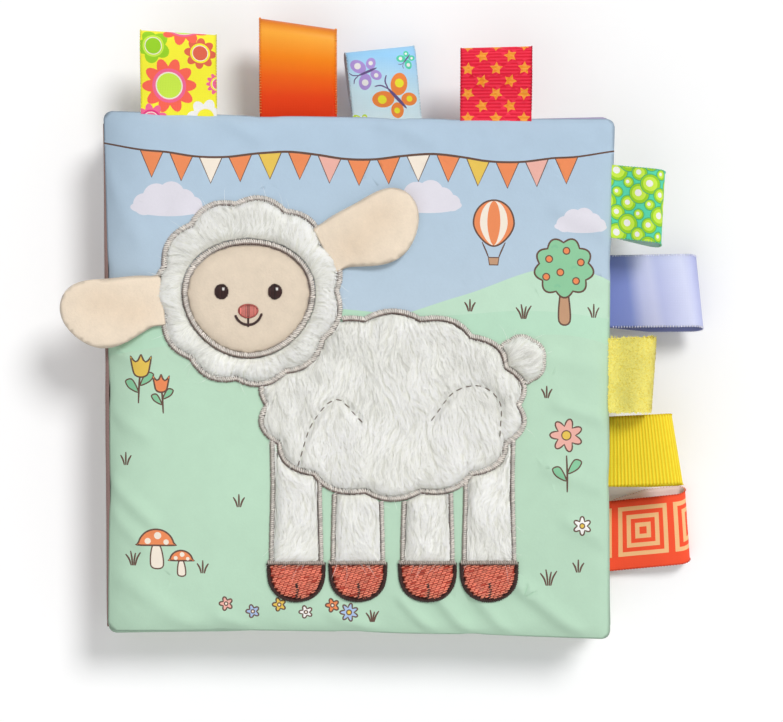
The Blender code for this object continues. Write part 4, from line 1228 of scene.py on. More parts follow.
def make_stage():
    """The camera straight above, a white floor, soft lamps and a pale world."""
    scene, settings = bpy.context.scene, bpy.context.scene.cloth_book.studio
    camera = bpy.data.cameras.new("camera")
    above = settings.camera_height
    camera.lens = SENSOR_WIDTH * above / settings.seen_width
    camera.sensor_width = SENSOR_WIDTH
    camera.clip_start, camera.clip_end = 0.01, 20
    scene.camera = placed("camera", camera)
    scene.camera.location = (*SEEN_MIDDLE, SEEN_HEIGHT + above)

    lamps = (("key", settings.key_light, 20, (-38, 0, -40)), ("fill", settings.fill_light, 60, (-40, 0, 150)))
    for name, strength, angle, turn in lamps:
        lamp = bpy.data.lights.new(name, "SUN")
        lamp.energy, lamp.angle = strength, math.radians(angle)
        placed(name, lamp).rotation_euler = [math.radians(angle) for angle in turn]

    world = bpy.data.worlds.new("studio")
    scene.world = world
    world.use_nodes = True
    tree = world.node_tree
    tree.nodes.clear()
    ray = add(tree, "LightPath")
    rays = {0: ray.outputs["Is Camera Ray"], 1: ray.outputs["Is Glossy Ray"]}
    seen = add(tree, "Math", rays, operation="MAXIMUM")
    light = add(tree, "Background", {"Color": (1, 1, 1, 1), "Strength": settings.world_light})
    white = add(tree, "Background", {"Color": (1, 1, 1, 1), "Strength": 1.0})
    both = add(tree, "MixShader", {0: seen.outputs["Value"], 1: light.outputs[0], 2: white.outputs[0]})
    add(tree, "OutputWorld", {"Surface": both.outputs[0]})

    mesh = bpy.data.meshes.new("floor")
    mesh.from_pydata([(-3, -3, 0), (3, -3, 0), (3, 3, 0), (-3, 3, 0)], [], [(0, 1, 2, 3)])
    floor = placed("floor", mesh)
    material, tree = new_tree("white paper floor")
    ray = add(tree, "LightPath")
    glow = add(tree, "Math", {0: ray.outputs["Is Camera Ray"], 1: settings.floor_glow}, operation="MULTIPLY")
    finish_tree(tree, add(tree, "BsdfPrincipled", {
        "Base Color": (0.95, 0.95, 0.95, 1), "Roughness": 0.9, "Specular IOR Level": 0.1,
        "Emission Color": (1, 1, 1, 1), "Emission Strength": glow.outputs["Value"]}))
    mesh.materials.append(material)
    scene.view_settings.view_transform = "Standard"


def lamb_dye(name):
    """One of the sheep's colours that can be set, as linear red, green and blue."""
    return np.array(getattr(bpy.context.scene.cloth_book.lamb, name)[:3])


def head_line(grow=0.0):
    """The head's edge."""
    return lobed(*HEAD, HEAD_RADIUS, HEAD_LOBES, 0.065, 14, grow=grow)


def body_line(grow=0.0):
    """The body's edge."""
    return lobed(*BODY, BODY_RADII, BODY_LOBES, 0.065, 14, grow=grow)


def egg(centre, size, grow=0.0, count=96):
    """Oval that is a tenth wider above than below."""
    angle = round_turn(count)
    taper = 1 + 0.10 * np.sin(angle)
    return np.stack([centre[0] + (size[0] / 2 + grow) * taper * np.cos(angle),
                     centre[1] + (size[1] / 2 + grow) * np.sin(angle)], 1)


def fleece_parts():
    """Every fleece pad: its outline, what is cut from it, and the direction that its pile is brushed in."""
    border = 0.7 * (STITCH_RADIUS + 0.0003)
    out = math.cos(TAIL_ANGLE), math.sin(TAIL_ANGLE)
    tail = BODY + (np.array(BODY_RADII) + TAIL_RADIUS * TAIL_SINK) * out
    parts = {
        "lamb_head_fleece": (head_line(-0.0008), [egg(FACE, FACE_SIZE, 0.0009)],
                             lambda x, y: np.arctan2(y - FACE[1], x - FACE[0])),
        "lamb_body_fleece": (body_line(-0.0008), [head_line(border)], lambda x, y: 9 * (x - BODY[0]) - 1.45),
        "lamb_tail_fleece": (
            lobed(*tail, TAIL_RADIUS, TAIL_LOBES, 0.065, 14, grow=-0.0008), [body_line(border)],
            lambda x, y: np.arctan2(y - tail[1] + 0.006, x - tail[0] + 0.008)),
    }
    for name, share in LEG_SHARES.items():
        leg = leg_outline(share, -0.0007)
        parts[f"lamb_{name}_leg"] = leg, [body_line(border)], lambda x, y: 0 * x - 1.65
    return parts


def leg_outline(share, grow=0.0):
    """A leg from under the body to the ankle: its straight sides draw in a little at half height."""
    y = np.linspace(BODY[1], ANKLE, 40)
    fall = (BODY[1] - y) / (BODY[1] - ANKLE)
    side = np.stack([LEG_WIDTH / 2 * (1 - 0.06 * np.sin(math.pi * fall) ** 2) + grow, y], 1)
    return np.concatenate([side[::-1] * (-1, 1), side]) + (BODY[0] + share * BODY_RADII[0], 0)


def hoof_outline(share, grow=0.0, count=44):
    """A hoof: a half round with full sides, its height times the sine to the power 0.6."""
    x = BODY[0] + share * BODY_RADII[0]
    angle = np.linspace(0, math.pi, count)
    return np.stack([x - (HOOF_WIDTH / 2 + grow) * np.cos(angle),
                     ANKLE - 0.0003 - (HOOF_HEIGHT + grow) * np.sin(angle) ** 0.6], 1)


def lattice(outline, holes, spacing, rng):
    """Jittered places inside an outline and outside the holes."""
    sides = (np.arange(low, high, spacing) for low, high in zip(outline.min(0), outline.max(0)))
    places = np.stack(np.meshgrid(*sides, indexing="ij"), -1).reshape(-1, 2)
    places = places + rng.uniform(0, spacing, places.shape)
    return places[within(places, outline, holes)]


def within(places, outline, holes):
    """True for the places inside an outline and outside the holes."""
    held = inside(places, outline)
    for hole in holes:
        held &= ~inside(places, hole)
    return held


def edge_distance(places, outline, holes):
    """Distance to the nearest edge of a pad that shows: its outline, or what is cut from it."""
    return np.min([distance(places, line) for line in (outline, *holes)], 0)


def dome(inset, roll):
    """Share of its thickness that a pad has at that distance from its edge: a quarter round of that width."""
    return np.sqrt(1 - (1 - np.clip(inset / roll, 0, 1)) ** 2)


def soft_pad(outline, holes, thick, roll, spacing):
    """A closed pad on the cover: its upper side stands up by its thickness, which may be a function of the
    place, and both sides share the rim."""
    points, triangles, _ = cut_flat(outline / MM, [], spacing / MM, [h / MM for h in holes])
    x, y = points.T * MM
    inset = edge_distance(points * MM, outline, holes)
    inset[np.unique(rim_edges(triangles))] = 0
    lower = cover_height(x, y)
    upper = lower + (thick(x, y) if callable(thick) else thick) * dome(inset, roll)
    upper, lower = (np.stack([x, y, z], 1) for z in (upper, lower - 0.0001))
    return thicken(upper, triangles, lower, rim_shared=True)[:2]


FLEECE_THICKNESS, FLEECE_ROLL = 0.0024, 0.0034
# Rows of running stitch on the fleece, as points that each row goes through, in shares of the body's radii
RUNNING_SHARES = (((-0.70, -0.62), (-0.60, -0.20), (-0.42, 0.06), (-0.24, -0.16)),
                  ((0.30, -0.14), (0.46, 0.14), (0.66, 0.20), (0.80, 0.02), (0.80, -0.30)))


@functools.cache
def running_lines():
    """The two rows of running stitch that draw the shoulder and the haunch."""
    return [curve(BODY + np.array(shares) * BODY_RADII, 60) for shares in RUNNING_SHARES]


def fleece_thickness(x, y):
    """Thickness of the fleece over a place: dented softly over 10 mm and 5 mm, and drawn in by the running
    stitch, in a bell 1.1 mm wide."""
    soft = 1
    for share, size, seed in ((0.32, 0.010, 14), (0.16, 0.0045, 15)):
        soft = soft + share * soft_noise(x + 0.5, y + 0.5, size, seed)
    for line in running_lines():
        near = np.hypot(x[:, None] - line[:, 0], y[:, None] - line[:, 1]).min(1)
        soft = soft * (1 - 0.45 * np.exp(-((near / 0.0011) ** 2)))
    return FLEECE_THICKNESS * soft


def pile_height(places, outline, holes):
    """Height of the surface that the pile lies on: the pad's own where it is inside, and never lower than the
    top of the stitched border at its edge."""
    inset = np.where(within(places, outline, holes), edge_distance(places, outline, holes), 0)
    thick = fleece_thickness(*places.T) * dome(inset, FLEECE_ROLL)
    return cover_height(*places.T) + np.maximum(thick, 0.0009)


def locks(roots, angle, wide, long, rng):
    """The lock of pile that each root belongs to: the nearest of some scattered centres, in a measure that is
    stretched along the brushing. Gives its number, and how far off its middle line the root lies, -1 to 1."""
    low, high = roots.min(0), roots.max(0)
    centre = rng.uniform(low, high, (int(np.prod(high - low) / (wide * long)) + 1, 2))
    chosen, off = np.empty(len(roots), int), np.empty(len(roots))
    for part in np.array_split(np.arange(len(roots)), len(roots) // 1500 + 1):
        gap = roots[part][:, None] - centre
        c, s = np.cos(angle[part])[:, None], np.sin(angle[part])[:, None]
        along, across = (gap[..., 0] * c + gap[..., 1] * s) / long, (gap[..., 1] * c - gap[..., 0] * s) / wide
        chosen[part] = (along**2 + across**2).argmin(1)
        off[part] = across[np.arange(len(part)), chosen[part]]
    return chosen, np.clip(off / 0.55, -1, 1)


def pile_of(outline, holes, flow, seed):
    """The pile of a fleece pad. Blades stand on a jittered lattice, brushed along the flow with a turn that
    wanders over 13 mm and 5 mm. The tips of each lock draw together into a ridge and leave partings between.
    A blade lies on the pad and is shortened until it ends there, but for a few loose ones."""
    settings = bpy.context.scene.cloth_book.lamb
    rng = np.random.default_rng(seed)
    roots = lattice(outline, holes, settings.fibre_gap, rng)
    x, y = roots.T + 0.5
    count = len(x)
    brushed = flow(*roots.T) + 0.50 * soft_noise(x, y, 0.013, seed)
    brushed = brushed + 0.55 * soft_noise(x, y, 0.0045, seed + 1)
    lock, off = locks(roots, brushed, settings.lock_width, settings.lock_length, rng)
    scatter = np.random.default_rng(40).uniform(-0.5, 0.5, (lock.max() + 1, 4))[lock]
    angle = brushed + rng.normal(0, 0.14, count) + scatter[:, 0] * 0.8
    flat = np.stack([np.cos(angle), np.sin(angle)], 1)
    across = np.stack([-flat[:, 1], flat[:, 0]], 1)
    loose = rng.random(count) < settings.loose_share
    long = settings.fibre_length * rng.uniform(0.7, 1.2, count)
    long = long * (1 + 0.4 * scatter[:, 1]) * (1 + 0.9 * loose)
    reach = flat * long[:, None] - across * (off * settings.lock_width * 0.34)[:, None]
    for _ in range(4):
        reach[~within(roots + reach, outline, holes) & ~loose] *= 0.62
    far = np.linalg.norm(reach, axis=1, keepdims=True)
    ahead = reach / np.maximum(far, 1e-9)
    side = np.stack([-ahead[:, 1], ahead[:, 0]], 1)
    sway = rng.normal(0, 0.07, (count, 1)) * (1 + 4 * loose[:, None])
    ridge = (1 - off[:, None] ** 2) * 0.0002 * np.clip(far / 0.002, 0, 1)
    lift = rng.uniform(0.02, 0.10, (count, 1)) * far + ridge
    stations = []
    for share, rise in ((0.0, -0.05), (0.35, 0.8), (0.7, 1.0), (1.0, 0.45)):
        spot = roots + ahead * far * share + side * sway * far * share**2
        height = pile_height(spot, outline, holes) + (lift * rise)[:, 0] + 0.00008
        stations.append(np.column_stack([spot, height]))
    # Painted light and shade in broad soft patches, stronger on the head
    broad_painted_shade = 0.03 * soft_noise(x, y, 0.011, seed + 2) + 0.03 * soft_noise(x, y, 0.0035, seed + 3)
    # Painted shade: blades away from their lock's middle line, in the partings, are darker
    tone = 1 + 0.03 * rng.normal(0, 1, count) + 0.05 * scatter[:, 2] - 0.12 * off**2
    tone = np.clip(tone + broad_painted_shade * (2 if holes else 1), 0.74, 1.05)[:, None]
    reach, spot = 0.0004, roots + ahead * far * 0.5
    right, left = (pile_height(spot + side * off, outline, holes) for off in (reach, -reach))
    side = unit(np.column_stack([side, np.clip((right - left) / (2 * reach), -1, 1)]))
    wide = settings.fibre_width * rng.uniform(0.7, 1.2, (count, 1)) * np.where(loose, 0.4, 1.0)[:, None]
    tip = np.minimum(lamb_dye("fleece_tip") * tone, 0.97)
    return blades(np.stack(stations, 1), side, wide, lamb_dye("fleece_root") * tone, tip)


def make_fleece():
    """The sheep's fleece pads with their pile, one piece each."""
    for seed, (name, (outline, holes, flow)) in enumerate(fleece_parts().items(), 60):
        shape, faces = soft_pad(outline, holes, fleece_thickness, FLEECE_ROLL, 0.0012)
        # The pad under the pile is a little darker still: painted shade under the fibres
        ground = np.tile(lamb_dye("fleece_root") * 0.95, (len(faces), 3, 1))
        pile = pile_of(outline, holes, flow, seed)
        pad = piece(name + "_pile", *joined((shape, faces, ground), pile), fleece_pile(), "front_cover",
                    "fleece", [name])


# The side away from the key lamp: a roll of satin stitch gets painted shade on the flank that faces it
SHADED_SIDE = np.array((-0.6, -0.8))
# Each pair: the thread's colour on its crest and lit flank, then the painted shade on its shaded flank
BORDER_THREAD_AND_SHADE, EDGE_THREAD_AND_SHADE, ANKLE_THREAD_AND_SHADE = ("#FBF4EC", "#866C64"), ("#4A2B27", "#33201D"), ("#CFC3B9", "#84746A")


def satin_line(line, closed, wide, high, dyes, seed, base=0.0):
    """Satin stitch along a flat line: a slanting thread across it every pitch, arched over a padded cord, in
    two colours that are painted light and shade. The first shows on the middle and on the lit flank, the
    second, a painted shade, on the flank towards the shaded side and a little at both edges of the border."""
    rng = np.random.default_rng(seed)
    pitch = bpy.context.scene.cloth_book.lamb.stitch_pitch
    count = max(4, int(length(line, closed) / pitch))
    line = even(line, count, closed)
    side = side_of(line, closed)
    askew = side[:, ::-1] * (-1, 1) * (rng.normal(0, 0.06, (count, 1)) + 0.20) * wide
    half = wide / 2 * (1 + rng.normal(0, 0.05, (count, 1)))
    z = cover_height(*line.T)[:, None] + base
    ends = [np.concatenate([line + sign * (side * half + askew), z], 1) for sign in (-1, 1)]
    points, faces, _ = bars(*ends, pitch * 0.86, high, 1.0, 8)
    place = (np.arange(len(points)) % 24 // 3 / 3.5 - 1)[faces][..., None]
    shade_facing = np.repeat(side @ SHADED_SIDE, len(faces) // count)[:, None, None]
    # Painted shade: the flank towards the shaded side, and a little of both edges, take the second colour
    share = np.clip((place * shade_facing - 0.12) / 0.4, 0, 0.9) + 0.5 * np.clip(np.abs(place) - 0.7, 0, 1)
    share = np.clip(share, 0, 1)
    lit_crest, edge = rgb(dyes[0]), rgb(dyes[1])
    tone = np.clip(1 + rng.normal(0, 0.10, (count, 1)), 0.7, 1.15)
    threads = (lit_crest * (1 - share) + edge * share) * np.repeat(tone, len(faces) // count, 0)[:, None]
    across = np.linspace(-1, 1, 7)[None, :, None]
    cord = line[:, None] + side[:, None] * wide / 2 * 0.9 * across
    top, low = (np.concatenate([cord, z[:, None] + rise + 0 * cord[..., :1]], 2).reshape(-1, 3)
                for rise in (high * 0.62 * np.sqrt(1 - across**2), -0.0002))
    sheet = grid_faces(count, 7, closed_rows=closed)
    a, b, c = (top[sheet[:, k]] for k in range(3))
    if np.cross(b - a, c - a)[:, 2].sum() < 0:
        sheet = sheet[:, ::-1]
    shape, cord_faces, _ = thicken(top, sheet, low)
    # The padded cord is darker than the threads: painted shade in the gaps between them
    ground = np.broadcast_to((lit_crest * 0.5 + edge * 0.5) * 0.8, (len(cord_faces), 3, 3))
    return joined((points, faces, threads), (shape, cord_faces, ground))


def sewn(name, slot, replaced, *shapes):
    """A piece of embroidery on the front cover."""
    return piece(name, *joined(*shapes), embroidery_thread(), "front_cover", slot, replaced)


def make_borders():
    """The satin-stitched borders of head, face, body, legs and tail, and the rows of running stitch."""
    wide = 2 * STITCH_RADIUS
    body = body_line()
    off = ~inside(body, head_line(STITCH_RADIUS * 0.6))
    first = int(np.flatnonzero(off & ~np.roll(off, 1))[0])
    body = np.roll(body, -first, 0)[np.roll(off, -first)]
    lines = (("head", head_line(), True, 0.0010), ("face", egg(FACE, FACE_SIZE), True, 0.0011),
             ("body", body, False, 0.0010))
    for seed, (name, line, closed, high) in enumerate(lines, 2):
        sewn(name + "_border_thread", "border_thread", [name + "_border_stitch"],
             satin_line(line, closed, wide, high, BORDER_THREAD_AND_SHADE, seed))
    tail = fleece_parts()["lamb_tail_fleece"][0]
    line = tail[~inside(tail, body_line(0.0006))]
    first = int(np.argmax(np.linalg.norm(line - np.roll(line, 1, 0), axis=1)))
    sewn("tail_border_thread", "border_thread", (),
         satin_line(np.roll(line, -first, 0), False, wide * 0.9, 0.0009, BORDER_THREAD_AND_SHADE, 5))
    for seed, (name, share) in enumerate(LEG_SHARES.items(), 7):
        sides = [part[~inside(part, body_line(0.0004))] for part in np.split(leg_outline(share), 2)]
        sewn(f"lamb_{name}_leg_thread", "border_thread", (),
             *(satin_line(part, False, wide * 0.85, 0.0009, BORDER_THREAD_AND_SHADE, seed) for part in sides))
    sewn("lamb_running_stitch_thread", "dark_thread", (), *map(running_stitch, running_lines()))


def running_stitch(line):
    """Running stitch through the fleece: a thread 1.7 mm long every 2.6 mm, sunk at both ends."""
    outline, holes, _ = fleece_parts()["lamb_body_fleece"]
    start = even(line, int(length(line) / 0.0026))
    ahead = unit(np.gradient(start, axis=0))
    ends = [np.column_stack([flat, pile_height(flat, outline, holes) + 0.0006])
            for flat in (start - ahead * 0.00085, start + ahead * 0.00085)]
    return bars(*ends, 0.00032, 0.00015, rgb("#7A6A60"))


def make_hooves():
    """The embroidered hooves: a low pad under slanting rows of filling stitch, each set off from the last,
    with a dark satin edge, a split mark and a taupe band at the ankle."""
    slant, step = 0.32, 0.0016
    along, normal = np.array(((math.cos(slant), math.sin(slant)), (-math.sin(slant), math.cos(slant))))
    rows = np.arange(-0.016, 0.016, 0.00062)
    r, k = (index.ravel() for index in np.meshgrid(np.arange(len(rows)), np.arange(-11, 12), indexing="ij"))
    filling = ((k + (r / 3) % 1) * step)[:, None] * along + rows[r][:, None] * normal
    for seed, (name, share) in enumerate(LEG_SHARES.items(), 80):
        rng = np.random.default_rng(seed)
        outline, x = hoof_outline(share, -0.0003), BODY[0] + share * BODY_RADII[0]
        shape, faces = soft_pad(outline, [], 0.0010, 0.0016, 0.0012)
        start = filling + (x, ANKLE - HOOF_HEIGHT / 2) + rng.normal(0, 0.00005, filling.shape)
        end = start + along * 0.0014
        kept = np.all([inside(start + (end - start) * part, outline) for part in (0.2, 0.5, 0.8)], 0)
        ends = []
        for flat in (start[kept], end[kept]):
            height = cover_height(*flat.T) + 0.0010 * dome(distance(flat, outline), 0.0016) + 0.0001
            ends.append(np.column_stack([flat, height]))
        tone = np.clip(1 + rng.normal(0, 0.10, (len(ends[0]), 1)), 0.7, 1.25)
        dark = rng.random((len(tone), 1)) < 0.05
        fill = bars(*ends, 0.00056, 0.00014, np.where(dark, rgb("#D65A44"), rgb("#FF9A7E")) * tone, 5)
        sewn(f"lamb_{name}_hoof_thread", "hoof_thread", [f"lamb_{name}_hoof"],
             (shape, faces, np.tile(rgb("#B8402E"), (len(faces), 3, 1))), fill)
        band = np.stack([np.linspace(x - HOOF_WIDTH / 2, x + HOOF_WIDTH / 2, 30), np.full(30, ANKLE)], 1)
        mark = np.array(((0.0, -0.0103), (0.0004, -0.0082), (0.0001, -0.0064))) + (x, ANKLE)
        sewn(f"lamb_{name}_hoof_edge", "dark_thread", (),
             satin_line(hoof_outline(share), False, 0.0013, 0.0011, EDGE_THREAD_AND_SHADE, seed),
             satin_line(band, False, 0.0015, 0.0012, ANKLE_THREAD_AND_SHADE, seed + 9, 0.0006),
             satin_line(curve(mark, 12), False, 0.0009, 0.0004, EDGE_THREAD_AND_SHADE, seed + 19, 0.0010))


FACE_THICKNESS, FACE_ROLL = 0.0019, 0.007


def on_face(flat, lift):
    """Points over flat places, lifted by so much from the velour face."""
    inset = distance(flat, egg(FACE, FACE_SIZE))
    return np.column_stack([flat, cover_height(*flat.T) + FACE_THICKNESS * dome(inset, FACE_ROLL) + lift])


def make_face():
    """The velour face, its eyes, nose and mouth in thread."""
    shape, faces = soft_pad(egg(FACE, FACE_SIZE, -0.0006), [], FACE_THICKNESS, FACE_ROLL, 0.0010)
    shape[:, 2] += 0.00006 * soft_noise(shape[:, 0] + 0.4, shape[:, 1] + 0.4, 0.0035, 12)
    # Painted shade: the velour darkens towards its rim, where the fleece overhangs it
    tint = 0.84 + 0.16 * np.clip(distance(shape[:, :2], egg(FACE, FACE_SIZE)) / 0.004, 0, 1)
    dyes = lamb_dye("velour") * 0.93 * tint[faces][..., None]
    pad = piece("lamb_face_pad", shape, faces, dyes, cut_velour(), "front_cover", "velour",
                ["lamb_face_velour"])
    for name, side in (("left_eye", -1), ("right_eye", 1)):
        centre = FACE + (side * 0.42 * FACE_SIZE[0] / 2, 0.12 * FACE_SIZE[1] / 2)
        glint = centre + (0.0006, 0.0008) + np.array(((-0.00022, -0.0004), (0, -0.0005), (0.00022, -0.0004)))
        glint = on_face(glint, 0.00062)
        sewn(name + "_thread", "dark_thread", [name + "_stitch"],
             thread_disc(centre, 0.0021, 0.0023, "#3F2422", 5 + side),
             bars(glint, glint + (0, 0.0009, 0), 0.0003, 0.0001, rgb("#F4F1EC"), 4))
    nose, mouth = (FACE + (0, share * FACE_SIZE[1] / 2) for share in (-0.22, -0.46))
    sewn("nose_thread", "nose_thread", ["nose_stitch"], thread_disc(nose, 0.0027, 0.0018, "#E08A80", 9),
         ring_thread(egg(nose, (0.0056, 0.0038)), "#B4574F"))
    angle = np.linspace(-1, 1, 30) * math.radians(70)
    bend = 0.0075 / 2 / math.sin(math.radians(70))
    smile = mouth + bend * np.stack([np.sin(angle), 1 - np.cos(angle)], 1)
    groove = np.linspace(nose - (0, 0.0016), mouth + (0, 0.0004), 8)
    sewn("mouth_thread", "dark_thread", ["mouth_stitch"], ring_thread(smile, "#3A1E1C", False, 0.0008),
         ring_thread(groove, "#3A1E1C", False, 0.0006))


def thread_disc(centre, half_wide, half_high, dye, seed):
    """An oval filled with upright threads side by side."""
    rng = np.random.default_rng(seed)
    step = 0.00024
    x = np.arange(-half_wide + step, half_wide, step)
    half = half_high * np.sqrt(1 - (x / half_wide) ** 2) * (1 + rng.normal(0, 0.03, len(x)))
    ends = [on_face(centre + np.stack([x, sign * half], 1), 0.00008) for sign in (-1, 1)]
    tone = np.clip(1 + rng.normal(0, 0.3, (len(x), 1)), 0.5, 1.9)
    return bars(*ends, step * 1.35, 0.00045, rgb(dye) * tone, 7)


def ring_thread(line, dye, closed=True, wide=0.0006):
    """Short slanting stitches along a line on the face."""
    count = int(length(line, closed) / 0.0005)
    spots = even(line, count, closed)
    after = spots[:1] if closed else 2 * spots[-1:] - spots[-2:-1]
    step = np.append(spots[1:], after, 0) - spots
    tone = 1 + np.random.default_rng(3).normal(0, 0.12, (count, 1))
    return bars(on_face(spots - step * 0.5, 0.0001), on_face(spots + step * 1.5, 0.0001), wide, wide * 0.35,
                rgb(dye) * tone, 4)


def make_ears():
    """Two velour ears: an outline that swells from its root and rounds off, as two cloths sewn at their rim,
    blown up, and hollowed a little along the middle."""
    dye = lamb_dye("velour")
    for seed, (name, side) in enumerate((("left_ear", 1), ("right_ear", -1))):
        root = np.array(JOINTS[name + "_fold"]["pos_m"], float)
        outer = unit(root[:2] - HEAD)
        across = np.array((-outer[1], outer[0]))
        tip = 0.8 + 0.2 * np.sin(np.linspace(0, math.pi / 2, 14)[1:])
        share = np.concatenate([np.linspace(-0.13, 0.8, 24), tip])
        swell = np.sin(np.pi / 2 * np.clip(share / 0.55, 0, 1))
        half = np.where(share < 0.55, EAR_ROOT_WIDTH + (EAR_WIDTH - EAR_ROOT_WIDTH) * swell,
                        EAR_WIDTH * np.sqrt(np.clip(1 - ((share - 0.55) / 0.45) ** 2, 0, 1))) / 2
        bow = side * 0.0022 * np.clip(np.sin(np.pi * share), 0, 1) ** 1.5
        upper, lower = (np.stack([share * EAR_LENGTH, sign * half + bow], 1) for sign in (1, -1))
        outline = even(np.concatenate([lower[:-1], upper[::-1]]), 90, True)
        points, triangles, _ = cut_flat(outline / MM, [], 1.3)
        flat = points * MM
        rise = 0.0008 * dome(distance(flat, outline), 0.006)
        rise = rise * (1 + 0.2 * soft_noise(flat[:, 0] + 0.3, flat[:, 1] + 0.3, 0.006, seed))
        rise[np.unique(rim_edges(triangles))] = 0
        upper, lower = (np.column_stack([flat, sign * rise]) for sign in (1, -1))
        shape, faces, _ = thicken(upper, triangles, lower, True)
        moved = np.clip(inflate(shape, faces, 1.5, 30, 0.1, 0.03, frames=16) - shape, -0.0022, 0.0022)
        shape = shape + moved * (0.45, 0.45, 1)
        share, off = shape[:, 0] / EAR_LENGTH, (shape[:, 1] - side * 0.001) / (EAR_WIDTH / 2)
        full = 0.25 + 0.75 * np.clip((share + 0.05) / 0.35, 0, 1)
        shape[:, 2] *= EAR_THICKNESS / 2 / np.abs(shape[:, 2]).max() * full
        shape[:, 2] += 0.0011 * (off**2 - 0.35) * np.clip(np.sin(np.clip(share, 0, 1) * math.pi), 0, 1)
        dents = sum(np.exp(-((share - at) ** 2 + ((off - beside) * 0.5) ** 2) / wide**2)
                    for at, beside, wide in ((0.18, side * 0.2, 0.24), (0.56, -side * 0.2, 0.26)))
        dents = np.where(shape[:, 2] > 0, dents, 0)
        shape[:, 2] -= 0.0006 * dents + 0.0011 * np.clip(1 - (share + 0.13) / 0.38, 0, 1)
        world = np.column_stack([root[:2] + shape[:, :1] * outer + shape[:, 1:2] * across,
                                 root[2] - EAR_THICKNESS / 2 + shape[:, 2] + 0.0001])
        # Painted shade: the velour is darker and browner in the dents
        dyes = dye * 1.04 * (1 - 0.05 * dents[:, None]) * (1 - dents[:, None] * (0, 0.03, 0.06))
        ear = piece(name + "_velour", world, faces, dyes[faces], cut_velour(), None, "velour", [name])
        outer = np.append(outer, 0)
        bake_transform(ear)


def plastic(name, size, low, high, rough, relief, kind="TexNoise", **more):
    """A clear or moulded plastic: its tint goes from one grey to the other with a pattern of that size, which
    gives the bump and changes the gloss too."""
    material, tree = new_tree(name)
    place = add(tree, "TexCoord").outputs["Object"]
    skin = add(tree, kind, {"Vector": place, "Scale": 1 / size}).outputs[0]
    tint = add(tree, "ValToRGB", {"Fac": skin}, stops=((0.2, low), (0.7, high)))
    gloss = add(tree, "MapRange", {"Value": skin, "To Min": rough + 0.08, "To Max": rough - 0.08})
    bump = add(tree, "Bump", {"Height": skin, "Strength": 0.5, "Distance": relief})
    finish_tree(tree, add(tree, "BsdfPrincipled", {
        "Base Color": tint.outputs["Color"], "Roughness": gloss.outputs["Result"],
        "Normal": bump.outputs["Normal"], "IOR": 1.49, **more}))
    return material


def finish_inner_parts():
    """Gives the film and the squeaker, which stay as the solids have them, their plastics. The film has
    crumpled facets 4 mm apart and is milky clear; the others have the orange-peel skin of their mould."""
    film = plastic("crumpled polypropylene film", 0.004, 0.62, 0.82, 0.30, 0.0003, "TexVoronoi", Alpha=0.75)
    bulb = plastic("blow-moulded soft polyethylene", 0.0008, 0.80, 0.86, 0.42, 0.00005)
    reed = plastic("moulded polystyrene", 0.0008, 0.84, 0.90, 0.28, 0.00004)
    for node, material in (("rear_leaf_crinkle_film", film), ("front_leaf_crinkle_film", film),
                           ("squeaker_bulb", bulb), ("squeaker_reed", reed)):
        for slot in frame["nodes"][node].material_slots:
            slot.material = material


def distance_of(label, about, default, most=0.02):
    """A setting that is a distance in metres."""
    return bpy.props.FloatProperty(name=label, description=about, default=default, min=0, max=most,
                                   precision=5, subtype="DISTANCE", unit="LENGTH")


def dye_of(label, about, colour):
    """A setting that is the colour of a dye."""
    return bpy.props.FloatVectorProperty(name=label, description=about, size=4, default=linear(colour), min=0,
                                         max=1, subtype="COLOR")


def share_of(label, about, default, most=3.0):
    """A setting that is a bare number."""
    return bpy.props.FloatProperty(name=label, description=about, default=default, min=0, max=most,
                                   precision=3)


class LeafSettings(bpy.types.PropertyGroup):
    """Sizes of the padded leaves."""

    fold_height: share_of("Fold height", "Share of the cover's drawn folds", 1.7)
    ripple: distance_of("Ripple", "Height of the small unevenness of the cover", 0.00016)
    pucker: distance_of("Pucker", "Height of the small gathers along the cover's seam", 0.0007)


class RibbonSettings(bpy.types.PropertyGroup):
    """Sizes of the ribbon loops."""

    rib_pitch: distance_of("Rib pitch", "Distance between the ribs of grosgrain", 0.00100)


class LambSettings(bpy.types.PropertyGroup):
    """Sizes and colours of the plush sheep."""

    fibre_gap: distance_of("Fibre gap", "Distance between the roots of two fibres", 0.00034)
    fibre_length: distance_of("Fibre length", "Length of the longest pile fibres", 0.0030)
    fibre_width: distance_of("Fibre width", "Width of a drawn pile fibre", 0.00019)
    loose_share: share_of("Loose fibres", "Share of fibres that may cross the border", 0.010)
    lock_width: distance_of("Lock width", "Width of a lock of pile", 0.00095)
    lock_length: distance_of("Lock length", "Length of a lock of pile", 0.0026, 0.03)
    stitch_pitch: distance_of("Stitch pitch", "Distance between two satin stitches", 0.0006)
    # Darker at the root than at the tip: painted shade deep in the pile
    fleece_root: dye_of("Fleece root", "Colour deep in the pile", "#F8F8EE")
    fleece_tip: dye_of("Fleece tip", "Colour of the pile's tips", "#FFFFFA")
    velour: dye_of("Velour", "Colour of the face and ears", "#F1E0CA")


class StudioSettings(bpy.types.PropertyGroup):
    """The camera and the lamps."""

    camera_height: distance_of("Camera height", "Camera above the front cover", 0.75, 5)
    seen_width: distance_of("Seen width", "Width of the picture at the front cover", 0.2338, 2)
    key_light: share_of("Key light", "Strength of the key lamp", 1.8)
    fill_light: share_of("Fill light", "Strength of the fill lamp", 0.55)
    world_light: share_of("World light", "Strength of the world", 0.43)
    floor_glow: share_of("Floor glow", "White added to the floor for the camera", 0.06)


